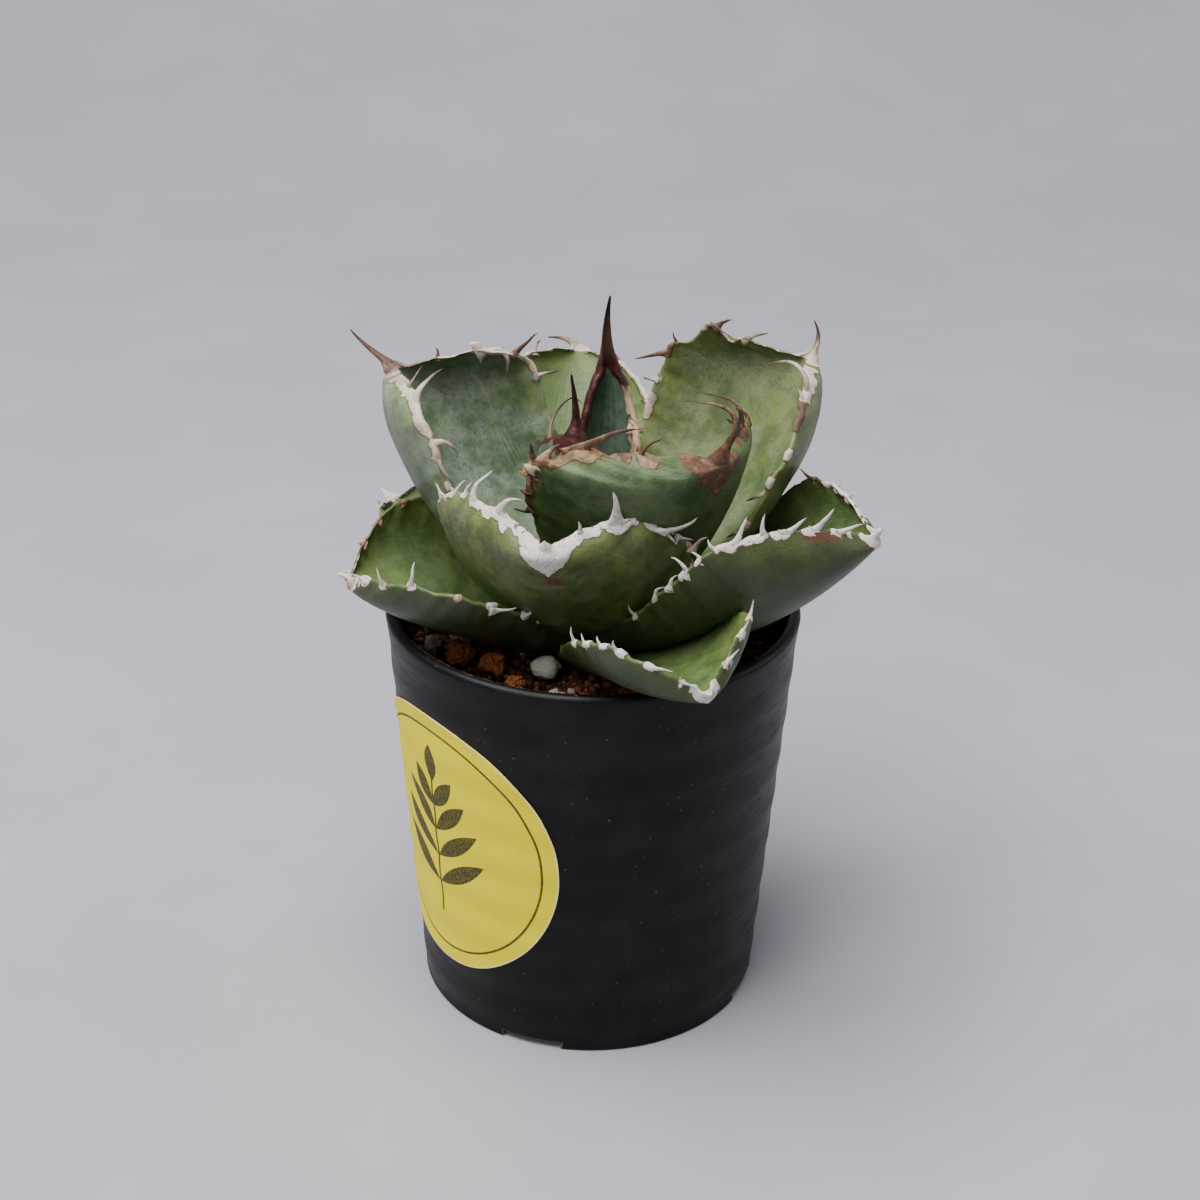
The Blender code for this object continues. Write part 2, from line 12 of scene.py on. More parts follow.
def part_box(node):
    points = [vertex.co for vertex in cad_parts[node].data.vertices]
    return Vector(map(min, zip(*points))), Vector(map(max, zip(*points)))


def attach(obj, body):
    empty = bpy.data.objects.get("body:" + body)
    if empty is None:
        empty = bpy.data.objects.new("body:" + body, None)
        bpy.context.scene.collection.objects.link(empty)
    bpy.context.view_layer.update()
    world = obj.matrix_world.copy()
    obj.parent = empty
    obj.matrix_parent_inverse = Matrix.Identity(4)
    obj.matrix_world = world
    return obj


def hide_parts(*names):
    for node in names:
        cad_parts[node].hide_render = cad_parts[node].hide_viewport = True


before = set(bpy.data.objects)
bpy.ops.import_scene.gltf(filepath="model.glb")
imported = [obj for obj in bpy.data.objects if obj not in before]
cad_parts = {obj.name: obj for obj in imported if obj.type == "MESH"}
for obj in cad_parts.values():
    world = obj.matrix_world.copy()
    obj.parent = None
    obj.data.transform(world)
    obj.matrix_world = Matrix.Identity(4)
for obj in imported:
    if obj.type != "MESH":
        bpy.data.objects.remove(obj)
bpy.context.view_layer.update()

# ---- sizes, in millimetres from the pot's axis and foot, as the solid model has them ----------
MM = 0.001
POT_HEIGHT, POT_TOP_RADIUS, POT_FOOT_RADIUS = 107.5, 52.5, 44.3
POT_WALL, POT_FLOOR, FOOT_HEIGHT, RIM_WIDTH = 2.0, 2.0, 3.0, 3.2
RING_PITCH, RING_DEPTH = 12.0, 0.25
NOTCH_WIDTH, NOTCH_HEIGHT, NOTCH_COUNT, NOTCH_TURN = 16.0, 2.0, 4, 251.0
CENTRE_HOLE_RADIUS, DRAIN_RADIUS, DRAIN_CIRCLE, DRAIN_COUNT, DRAIN_TURN = 6.0, 4.0, 27.0, 4, NOTCH_TURN + 45
POT_SEGMENTS = 192
LABEL_RADIUS, LABEL_THICKNESS, LABEL_TURN = 36.8, 0.25, 218.0
LABEL_HEIGHT = POT_HEIGHT / 2 + 0.75
SOIL_HEIGHT = POT_HEIGHT - 12.5
BUD_FOOT, BUD_HEIGHT, BUD_RADIUS = SOIL_HEIGHT + 10.0, 36.0, 3.8
SPIRAL_STEP, SPIRAL_START = -137.5, 222.5
LEAF_TOP, LEAF_STEP, LEAF_OUT, LEAF_OUT_STEP = SOIL_HEIGHT + 11.9, 1.05, 3.0, 0.7
LEAF_BASE_THICKNESS, LEAF_TIP_THICKNESS, LEAF_EDGE_THICKNESS = 5.5, 2.8, 1.2
MARGIN_BLUNTNESS = 1.8

# ---- how finely the leaves are drawn ----------------------------------------------------------
BLADE_ROWS, BLADE_COLUMNS, SPINE_ROWS, EDGE_POINTS = 84, 43, 26, 3
FINE_STEPS = 601
TOOTH_ROWS, TOOTH_SIDES = 16, 10
HORN_RELIEF = 0.32  # how far the horny crust stands proud of the skin
ALL_HORN = 5.0  # the horn value of a piece that is horn right through
PRESS_REACH, PRESS_GAP, THINNEST, TUCK_REACH = 1.5, 0.15, 0.9, 9.0  # how leaves give way where they meet
BARE_MARGIN = -0.7  # the horn value of a margin without any
MARGIN_STEP = 4  # every fourth point of a margin is enough to measure from
HUMP_HEIGHT, HUMP_LENGTH, TOOTH_HUMP = 0.35, 16.0, 0.16  # how the margin swells by itself and under a tooth
WAVE_HEIGHT, WAVE_LENGTH = 0.7, 21.0  # how the margin waves up and down
CROWDING = 0.65  # how far the columns of points crowd towards the margins
GROOVE_DEPTH = 0.04
TOOTH_ROOT = 0.9  # how far inside the margin a tooth starts
# A spine's half-width: its share of the leaf's width, the most it can be, and what it is at the point.
SPINE_SHARE, SPINE_MOST, SPINE_POINT = 0.1, 2.4, 0.2
SPINE_BLEND, SPINE_CUP = 0.35, 55  # the share over which the leaf turns into spine, and the most it is cupped

# ---- soil, label and grains -------------------------------------------------------------------
SOIL_CLEARANCE = 0.35  # between the soil and the pot's inner wall
SOIL_SINK, SOIL_RELIEF = 0.8, 0.62  # how far its surface lies below the solid's, and how uneven it is
CRUMB_COUNT, CRUMB_SMALL, CRUMB_SPREAD = 4200, 0.25, 1.1
LABEL_LIFT = 0.04  # between the label and the pot
LABEL_RING, LABEL_STEM = 32.5, 21.0  # radius of the printed ring, half the height of the printed stem
# The sprig's leaves: height where they leave the stem, direction in degrees, length.
SPRIG = ((-13, 34, 20), (-13, 146, 20), (-5, 38, 19), (-5, 142, 19), (3, 44, 16), (3, 136, 16),
         (10, 52, 12), (10, 128, 12), (17, 90, 11))
SPRIG_LEAF_WIDTH = 4.6
GRAIN_FLATS, FLAT_DEPTH, GRAIN_SWELL = 9, 0.85, 1.03

# ---- camera and stage -------------------------------------------------------------------------
CAMERA_TILT, CAMERA_LEAN = 26.07, 0.9  # degrees
CAMERA_PLACE = Vector((0.0017, -0.4954, 0.3497))  # metres from the foot of the pot's axis
CAMERA_LENS = 65.3
SWEEP_WIDTH, SWEEP_FRONT, SWEEP_BACK, SWEEP_CURVE, SWEEP_HEIGHT = 6000.0, -2500.0, 1500.0, 900.0, 4000.0

pot_low, pot_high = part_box("pot")
AXIS = Vector(((pot_low.x + pot_high.x) / 2, (pot_low.y + pot_high.y) / 2, 0.0))
SHIFT = np.array(AXIS)


def shade(red, green, blue):
    """A colour given in 0 to 255 screen values, as the shaders take it."""
    linear = [c / 255 / 12.92 if c <= 10 else ((c / 255 + 0.055) / 1.055) ** 2.4
              for c in (red, green, blue)]
    return (*linear, 1.0)


# ---- the leaves, youngest first ---------------------------------------------------------------
# Shape: as the solid model.
# Neck: the spine's root as a share of its width. Bow and hook: how far the spine bends across and towards
# the upper face, at its middle and at its point. Plate: how far the horn below the spine reaches.
# Border: side, from and to along the margin from the tip, depth of horn, tone.
# Teeth: side, distance from the tip, length, width, lean and curl towards the tip, lift to the upper face
# and tone.
# Bumps: side, distance from the tip, height towards the outside, width.
# Scars: across, distance from the tip, size, which face (1 is the lower).
# A tone below 0 is stained, above 0 is bleached. A tucked leaf gives way under the younger ones.
PLAIN_LEAF = dict(foot=0.5, veer=0, neck=0.75, bow=(0.0, 0.0), hook=(0.0, 0.0), skin="low", horn="chalk",
                  spine_tone=0, bumps=(), scars=(), tucked=False)
LEAVES = [{**PLAIN_LEAF, **leaf} for leaf in (
    dict(name="leaf_bud_front", turn=4, length=47, width=33, rise=(70, 100), cup=(72, 55), sway=0, roll=18,
         foot=0.7, shoulder=0.6, blunt=2.1, skew=0.2, spine=17, point=78, veer=-5, neck=0.5, bow=(0.3, 0.0),
         hook=(0.5, 0.0), skin="heart", horn="wine", plate=7, spine_tone=-0.3,
         border=[(-1, 0, 22, 1.8, 0), (1, 0, 18, 1.6, 0)],
         teeth=[(-1, 9, 20, 2.4, -50, 200, 20, 0.2), (-1, 14, 3.5, 2.6, 10, 60, 10, -0.4),
                (1, 10, 5, 2.4, 20, 30, 10, 0), (-1, 20, 6, 3.0, -20, 50, 10, 0),
                (-1, 27, 5, 3.0, 0, 40, 10, -0.5)]),
    dict(name="leaf_centre", turn=-7, length=60, width=20, rise=(66, 91), cup=(67, 78), sway=5, roll=16,
         foot=0.6, shoulder=0.45, blunt=1.9, skew=0.0, spine=20, point=105, neck=0.85, bow=(0.5, 0.3),
         hook=(-0.6, 0.0), skin="heart", horn="wine", plate=6, spine_tone=0.1,
         border=[(-1, 0, 5, 1.3, 0), (-1, 4, 12, 1.0, 0.6), (-1, 14, 25, 2.6, 0.8), (1, 0, 18, 1.3, 0)],
         teeth=[(-1, 17, 15, 4.4, 84, 14, 12, 1), (-1, 18.5, 8, 3.4, -62, 20, 55, 0.3),
                (-1, 20, 6, 3.0, -100, 60, 60, 0.2), (1, 24, 4, 2.2, 10, 30, 10, 0)]),
    dict(name="leaf_inner_front", turn=5, length=66, width=69, rise=(37, 75), cup=(67, 58), sway=2, roll=4,
         shoulder=0.9, blunt=2.9, skew=0.25, spine=15, point=55, veer=14, neck=0.7, bow=(0.0, -0.8),
         hook=(0.0, 1.2), skin="inner", horn="rust", plate=9, spine_tone=-0.7,
         bumps=[(-1, 28.5, 2.2, 3.2), (-1, 23.5, -2.2, 1.5), (-1, 34, -1.2, 1.5), (-1, 15, 0.8, 4.0),
                (-1, 5, 0.7, 3.0), (-1, 42, 1.4, 2.4)],
         border=[(-1, 0, 9, 4.4, -0.6), (-1, 7, 14, 2.8, 0.1), (-1, 13, 23, 3.4, -0.25),
                 (-1, 21, 34, 2.6, 0.0), (-1, 30, 42, 1.8, -0.3), (-1, 41, 58, 1.6, -0.9),
                 (1, 0, 17, 2.0, -0.5)],
         teeth=[(1, 17, 16, 3.2, 10, 0, 88, -0.3), (1, 11, 19, 4.0, 0, 60, 102, -0.25),
                (1, 14, 5, 5.0, 30, 0, 60, -0.5), (1, 21, 5, 4.4, 0, 30, 70, -0.6),
                (-1, 15, 6, 1.5, 20, 55, 0, -0.8), (-1, 32, 19, 5.2, 62, 24, 0, -0.3),
                (-1, 25.5, 5, 3.4, -150, 60, -20, -0.8), (-1, 23.5, 5, 3.0, 60, 30, 20, -0.6),
                (-1, 37, 5, 4.0, 40, 60, 10, 0.1), (-1, 44, 11, 8.0, 92, -18, -6, 0.0),
                (-1, 41, 4.5, 3.4, 120, 60, -30, 0.5), (-1, 50, 9, 6.0, 98, -24, 0, -0.9),
                (-1, 54, 6, 3.4, -60, 60, -10, -0.3)]),
    dict(name="leaf_left_high", turn=-12, length=77, width=68, rise=(27, 70), cup=(48, 91), sway=-4,
         roll=-1, shoulder=0.8, blunt=2.4, skew=0.05, spine=15, point=24, veer=20, neck=0.5,
         bow=(0.0, -0.8), hook=(0.0, 1.4), skin="bloomy", horn="bone", plate=6, spine_tone=-0.8,
         border=[(-1, 0, 8, 0.6, -0.5), (-1, 8, 26, 1.6, 0.7), (-1, 26, 36, 0.7, 0), (1, 0, 12, 1.7, 0),
                 (1, 11, 33, 1.5, 0.5)],
         teeth=[(-1, 8, 2.5, 2.2, -20, 40, 0, -0.9), (-1, 17.5, 14.5, 6.4, -68, -115, 28, 0.6),
                (-1, 28, 9, 3.4, -14, -14, 0, -0.6), (-1, 37, 6.5, 2.2, 6, -10, 0, 0.3),
                (1, 13, 9, 2.6, -70, 100, 60, -0.3), (1, 23, 12, 4.4, 0, -50, 56, 0.8),
                (1, 36, 8.5, 3.4, 25, -130, 15, 0.1), (1, 38, 7.5, 3.2, -80, 20, 0, 0.1),
                (1, 46, 6.5, 2.2, -50, 60, 0, 0.4), (1, 54, 4.5, 2.2, 10, 60, 20, 0.4)]),
    dict(name="leaf_right_high", turn=-11, length=82, width=69, rise=(31, 71), cup=(34, 72), sway=0, roll=8,
         shoulder=0.75, blunt=2.4, skew=-0.05, spine=10, point=73, neck=0.45, bow=(-0.8, -0.9),
         hook=(0.0, 1.6), skin="olive", horn="bone", plate=4, spine_tone=-0.1,
         border=[(-1, 0, 22, 1.5, 0.6), (-1, 20, 31, 0.9, -0.9), (1, 0, 13, 0.7, 0.7),
                 (1, 13, 26, 0.7, 0.1), (1, 47, 54, 1.4, 0.4)],
         bumps=[(1, 22.5, 4.2, 3.4), (1, 18, -1.0, 1.5), (1, 33, 1.8, 2.6), (1, 14, 0.9, 2.5)],
         teeth=[(1, 14.5, 6.5, 2.6, 58, 20, 0, -0.2), (1, 22, 4.6, 3.6, 52, 30, 0, -0.9),
                (1, 35, 9, 3.2, -55, 0, 0, -0.6), (1, 32.5, 3, 1.6, 20, 0, 0, -0.8),
                (1, 43, 4, 2.0, -25, 30, 0, 0.5), (1, 50, 2.5, 4.0, 0, 0, 0, 0.4),
                (-1, 17, 17, 3.6, 0, 0, 126, 0.2), (-1, 22, 4.5, 2.6, 10, 30, 60, 0.5),
                (-1, 26, 2.5, 2.2, 0, 30, 30, -0.5), (-1, 37, 7, 3.0, -110, 20, 38, 0.8),
                (-1, 45, 8, 3.0, -112, 24, 42, 0.7), (-1, 57, 5, 2.6, -60, -20, 30, 0)]),
    dict(name="leaf_front", turn=1, length=61, width=72, rise=(36, 52), cup=(35, 76), sway=4, roll=4,
         shoulder=0.55, blunt=2.1, skew=0.1, spine=3, point=60, skin="deep", plate=7.5,
         border=[(-1, 0, 8, 1.2, 0), (-1, 8, 18, 1.5, 0), (-1, 18, 24, 0.8, 0), (1, 0, 11, 1.1, 0),
                 (1, 13, 20, 0.9, 0)],
         scars=[(0.03, 10.5, 1.9, 1)],
         teeth=[(1, 7, 3.8, 2.8, 0, 20, 0, 0), (1, 15, 9.5, 7.2, 12, 8, 0, 0),
                (1, 20, 2.8, 2.6, -20, 0, 0, 0), (1, 25.5, 10.5, 5.6, -95, 125, -34, 0),
                (1, 28.5, 3.4, 2.4, -120, 0, -40, 0), (1, 33, 3, 2.4, -60, 0, -40, 0),
                (1, 39.5, 6.5, 3.2, 30, 40, -40, -0.45), (1, 48, 4, 2.4, -10, 50, -20, 0),
                (1, 56, 4, 2.4, -10, 70, -20, -0.2), (-1, 13, 7.5, 4.4, -10, 100, 40, 0),
                (-1, 23, 9, 3.6, 0, 10, 55, 0), (-1, 28, 4, 2.2, 0, 60, 20, 0),
                (-1, 33, 5, 2.4, 30, 30, 30, 0), (-1, 35.5, 5, 2.0, -60, 60, -10, -0.1),
                (-1, 42, 4, 2.0, 0, 30, 0, -0.2), (-1, 52, 4, 2.4, 0, 50, 10, 0)]),
    dict(name="leaf_back", turn=-19, length=76, width=54, rise=(32, 52), cup=(40, 53), sway=-10, roll=2,
         shoulder=0.6, blunt=2.4, skew=-0.2, spine=13, point=-10, veer=60, neck=0.5, skin="pale",
         horn="bone", plate=3, spine_tone=-0.3,
         border=[(-1, 0, 36, 0.7, 0.5), (1, 0, 30, 0.7, 0.5)],
         teeth=[(-1, 10, 4, 2.0, 20, 110, 10, -0.9), (-1, 25, 4.5, 2.4, 0, 60, 10, 0.4),
                (-1, 33, 5, 2.8, -10, 60, 10, 0.6), (-1, 42, 5, 3.2, 0, -60, 10, 0.7),
                (1, 11, 4, 2.2, 10, 60, 0, 0), (1, 24, 6, 2.6, 0, 70, 10, 0.4),
                (1, 38, 5, 2.8, -10, 60, 10, 0)]),
    dict(name="leaf_right_low", turn=-1, length=76, width=71, rise=(14, 50), cup=(46, 88), sway=-7, roll=13,
         shoulder=0.7, blunt=1.8, skew=0.15, spine=4, point=41, plate=2.5,
         border=[(-1, 0, 5, 0.8, 0), (-1, 26, 32, 0.9, 0), (-1, 34, 39, 0.8, 0), (1, 0, 24, 0.8, 0)],
         scars=[(-0.96, 2.8, 1.6, 1), (0.9, 3.0, 2.2, 0), (0.5, 30, 0.9, 0)],
         teeth=[(-1, 7.5, 6, 3.8, 50, 20, 0, 0), (-1, 14.3, 6.6, 4.2, 40, -24, 5, 0),
                (-1, 22, 6, 4.4, 58, -10, 0, 0), (-1, 26.5, 5.5, 3.2, -10, 24, 5, 0),
                (-1, 34.5, 7, 4.0, 44, -14, 5, 0), (-1, 37.5, 3.4, 2.6, -50, 60, 5, 0),
                (-1, 43, 3, 2.2, 40, -80, 0, 0), (-1, 48, 6, 3.0, 60, -110, 10, 0),
                (-1, 54, 4.5, 2.6, 30, 90, 10, 0), (-1, 60, 5, 2.6, 30, 110, 10, -0.1),
                (-1, 70, 4, 2.2, 10, 40, 10, 0), (1, 12, 3, 2.2, 20, 30, 0, -0.7),
                (1, 18, 2.5, 2.0, 20, 30, 0, -0.5), (1, 27, 6.5, 2.2, -65, 0, 0, -0.9),
                (1, 44, 6, 2.0, 30, 10, 0, -0.8), (1, 58, 4, 2.4, 0, 60, 10, 0)]),
    dict(name="leaf_left_low", turn=-5, length=57, width=58, rise=(20, 26), cup=(62, 73), sway=-3, roll=-11,
         shoulder=0.65, blunt=2.4, skew=0.0, spine=4, point=20, plate=2,
         border=[(-1, 0, 5, 0.7, -0.7), (1, 0, 8, 0.9, 0)],
         scars=[(0.93, 31, 0.9, 0), (0.95, 36, 1.2, 0)],
         teeth=[(1, 13, 5.5, 3.0, -20, 0, 30, 0), (1, 21.5, 7.5, 2.6, -14, -26, 40, 0),
                (1, 5, 2.5, 2.6, 30, 30, 10, 0), (1, 33, 1.5, 2.2, 0, 0, 0, -0.6),
                (1, 42, 6.5, 3.0, -68, 74, -20, 0), (1, 52, 4.5, 2.6, -20, 90, -10, 0),
                (1, 58, 3.5, 2.2, 10, 60, 0, 0), (1, 64, 4, 2.2, 0, 70, 0, 0),
                (-1, 7, 2.5, 2.4, 10, 20, 0, -0.9), (-1, 15, 3, 2.0, 60, 0, 0, -1),
                (-1, 24, 3, 2.0, 20, 60, 0, -1), (-1, 31, 5, 2.0, -20, 60, 0, -1),
                (-1, 43, 4, 1.8, 10, 50, 0, -1)]),
    dict(name="leaf_back_low_right", turn=0, length=70, width=54, rise=(18, 32), cup=(50, 65), sway=4,
         roll=5, shoulder=0.65, blunt=2.2, skew=0.05, spine=6, point=45, plate=3,
         border=[(-1, 0, 12, 0.9, 0), (1, 0, 12, 0.9, 0)],
         teeth=[(s, d + s, 5, 3.0, 15 * s, 40, 10, 0) for s in (-1, 1) for d in (9, 17, 26, 34, 44, 55)]),
    dict(name="leaf_front_low", turn=5, length=62, width=47, rise=(26, 11), cup=(20, 79), sway=-1, roll=11,
         shoulder=0.8, blunt=2.0, skew=0.1, spine=3, point=10, plate=1,
         border=[(-1, 0, 2, 0.5, -0.1), (1, 0, 1.5, 0.5, -0.1)],
         scars=[(0.5, 3.5, 2.0, 0), (-0.55, 27, 1.8, 1), (-0.5, 16, 1.2, 1)],
         teeth=[(-1, 4, 3.4, 2.6, 60, 30, 10, 0), (-1, 11.5, 4.2, 2.8, 40, 60, 20, 0),
                (-1, 18.5, 4.2, 2.8, -70, 60, 20, 0), (-1, 23, 3, 2.4, -65, 50, 20, 0),
                (-1, 28, 3.4, 2.4, -60, 50, 20, 0), (-1, 37, 4.6, 2.4, 0, 50, 20, 0),
                (1, 5, 5.5, 2.8, -60, 40, 10, 0), (1, 13.5, 4.2, 2.8, -50, 40, 10, 0),
                (1, 20, 5, 3.0, -40, 60, 10, 0), (1, 30, 4, 2.4, 0, 60, 10, 0)]),
    dict(name="leaf_back_low_left", turn=0, length=57, width=48, rise=(24, 26), cup=(40, 65), sway=-4,
         roll=-6, shoulder=0.65, blunt=2.2, skew=0.0, spine=5, point=32, plate=3, tucked=True,
         border=[(-1, 0, 10, 0.9, 0), (1, 0, 10, 0.9, 0)],
         teeth=[(s, d + s, 3.6, 2.6, 15 * s, 40, 10, -0.8) for s in (-1, 1) for d in (8, 16, 25 - 3 * s)]),
)]

# The last skin value is painted shade: how far the lower faces are darkened towards a dark green.
SKIN_KEYS = ("Deep", "Fresh", "Bloom", "Bloom Amount", "Stripes", "Painted Shade Below")
SKINS = {
    "deep": (shade(58, 70, 34), shade(108, 116, 58), shade(118, 125, 94), 0.45, 0.3, 0.0),
    "bloomy": (shade(62, 82, 54), shade(112, 126, 72), shade(134, 144, 130), 0.85, 0.3, 0.1),
    "olive": (shade(68, 84, 46), shade(114, 122, 64), shade(128, 136, 106), 0.62, 0.3, 0.15),
    "inner": (shade(44, 68, 30), shade(92, 110, 50), shade(112, 127, 98), 0.5, 0.2, 0.15),
    "pale": (shade(72, 92, 44), shade(98, 114, 54), shade(106, 120, 80), 0.35, 0.5, 0.2),
    "low": (shade(60, 82, 40), shade(106, 122, 60), shade(114, 128, 90), 0.42, 0.3, 0.72),
    "heart": (shade(26, 48, 36), shade(82, 104, 76), shade(116, 132, 116), 0.5, 1.0, 0.1),
}
HORN_KEYS = ("Main", "Stain", "Point", "Bleached", "Stain Amount", "Specks", "Polish")
HORNS = {
    "chalk": (shade(208, 201, 194), shade(140, 106, 80), shade(204, 196, 188), shade(220, 216, 210),
              0.24, 0.8, 0.0),
    "bone": (shade(184, 165, 146), shade(92, 66, 54), shade(82, 60, 52), shade(212, 200, 186),
             0.32, 0.4, 0.1),
    "rust": (shade(152, 122, 84), shade(80, 50, 30), shade(48, 26, 20), shade(200, 190, 162),
             0.6, 0.6, 0.4),
    "wine": (shade(70, 28, 24), shade(46, 16, 16), shade(34, 14, 16), shade(208, 178, 142),
             0.5, 0.1, 1.0),
}


# ---- small helpers ----------------------------------------------------------------------------
def mix(a, b, t):
    return a + (b - a) * t


def ease(low, high, x):
    t = np.clip((x - low) / (high - low), 0.0, 1.0)
    return t * t * (3 - 2 * t)


def unit(vectors):
    return vectors / np.linalg.norm(vectors, axis=-1, keepdims=True)


def waves(x, seed, longest, count=5):
    """A smooth uneven line between about -1 and 1."""
    chance = random.Random(seed)
    total = np.zeros_like(x)
    for step in range(count):
        total += np.sin(2 * math.pi * x * 1.7 ** step / longest + chance.uniform(0, 6.28)) / 1.5 ** step
    return total / 2


def wall_radius(height):
    return POT_FOOT_RADIUS + (POT_TOP_RADIUS - POT_FOOT_RADIUS) * height / POT_HEIGHT


def inner_radius(height):
    return wall_radius(height) - POT_WALL


def moulded_radius(height):
    """The pot's outside with its shallow rings."""
    phase = 2 * math.pi * (POT_HEIGHT - RIM_WIDTH - height) / RING_PITCH
    return wall_radius(height) - RING_DEPTH * (0.5 - 0.5 * np.cos(phase))


def linked(name, data):
    obj = bpy.data.objects.new(name, data)
    bpy.context.scene.collection.objects.link(obj)
    return obj


def ball(subdivisions):
    """Points and faces of a unit ball."""
    bm = bmesh.new()
    bmesh.ops.create_icosphere(bm, subdivisions=subdivisions, radius=1.0)
    points = np.array([vertex.co[:] for vertex in bm.verts])
    faces = [tuple(vertex.index for vertex in face.verts) for face in bm.faces]
    bm.free()
    return points, faces


class Shell:
    """Points, faces and point values of one piece, gathered before its mesh is made."""

    def __init__(self, *value_names):
        self.points, self.faces, self.count = [], [], 0
        self.values = {name: [] for name in value_names}

    def add(self, points, faces, **values):
        self.points.append(points)
        self.faces.extend([tuple(i + self.count for i in face) for face in faces])
        for name, store in self.values.items():
            store.append(np.broadcast_to(np.asarray(values.get(name, 0.0), float), (len(points),)))
        self.count += len(points)

    def make(self, name, material):
        mesh = bpy.data.meshes.new(name)
        mesh.from_pydata((np.concatenate(self.points) * MM + SHIFT).tolist(), [], self.faces)
        for key, store in self.values.items():
            mesh.attributes.new(key, "FLOAT", "POINT").data.foreach_set("value", np.concatenate(store))
        bm = bmesh.new()
        bm.from_mesh(mesh)
        bmesh.ops.recalc_face_normals(bm, faces=bm.faces)
        bm.to_mesh(mesh)
        bm.free()
        mesh.polygons.foreach_set("use_smooth", [True] * len(mesh.polygons))
        mesh.materials.append(material)
        return linked(name, mesh)


def ring_faces(rows, around, closed_ends=True):
    """Quads between rings of points, and a fan over each end, whose middles are the last two points."""
    faces = []
    for here in range(0, (rows - 1) * around, around):
        above = here + around
        for k in range(around):
            n = (k + 1) % around
            faces.append((here + k, here + n, above + n, above + k))
    if closed_ends:
        first, last, base = rows * around, rows * around + 1, (rows - 1) * around
        for k in range(around):
            n = (k + 1) % around
            faces.append((first, n, k))
            faces.append((last, base + k, base + n))
    return faces


def settle_in(piece, node):
    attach(piece, "root")
    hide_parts(node)


# ---- leaf shape -------------------------------------------------------------------------------
LEAF_VALUES = ("horn", "across", "along", "edge", "under", "reach", "tone", "scar")


def axes_at(leaf, foot_turn, u):
    """Along, across and towards the upper face, at u along the midrib."""
    slope = np.radians(mix(leaf["rise"][0], leaf["rise"][1], u))
    return turned_axes(slope, foot_turn + math.radians(leaf["sway"]) * u, math.radians(leaf["roll"]) * u)


def turned_axes(slope, turn, roll):
    along = np.stack([np.cos(slope) * np.cos(turn), np.cos(slope) * np.sin(turn), np.sin(slope)], -1)
    flat = np.stack([-np.sin(turn), np.cos(turn), np.zeros_like(turn)], -1)
    upper = np.cross(along, flat)
    cos, sin = np.cos(roll)[..., None], np.sin(roll)[..., None]
    return along, flat * cos + upper * sin, upper * cos - flat * sin


def blade_share(leaf, u):
    swell = mix(leaf["foot"], 1.0, np.sin(np.pi / 2 * np.clip(u / leaf["shoulder"], 0, 1)) ** 1.3)
    t = np.clip((u - leaf["shoulder"]) / (1 - leaf["shoulder"]), 0, 1)
    return np.where(u < leaf["shoulder"], swell, (1 - t ** leaf["blunt"]) ** (1 / MARGIN_BLUNTNESS))


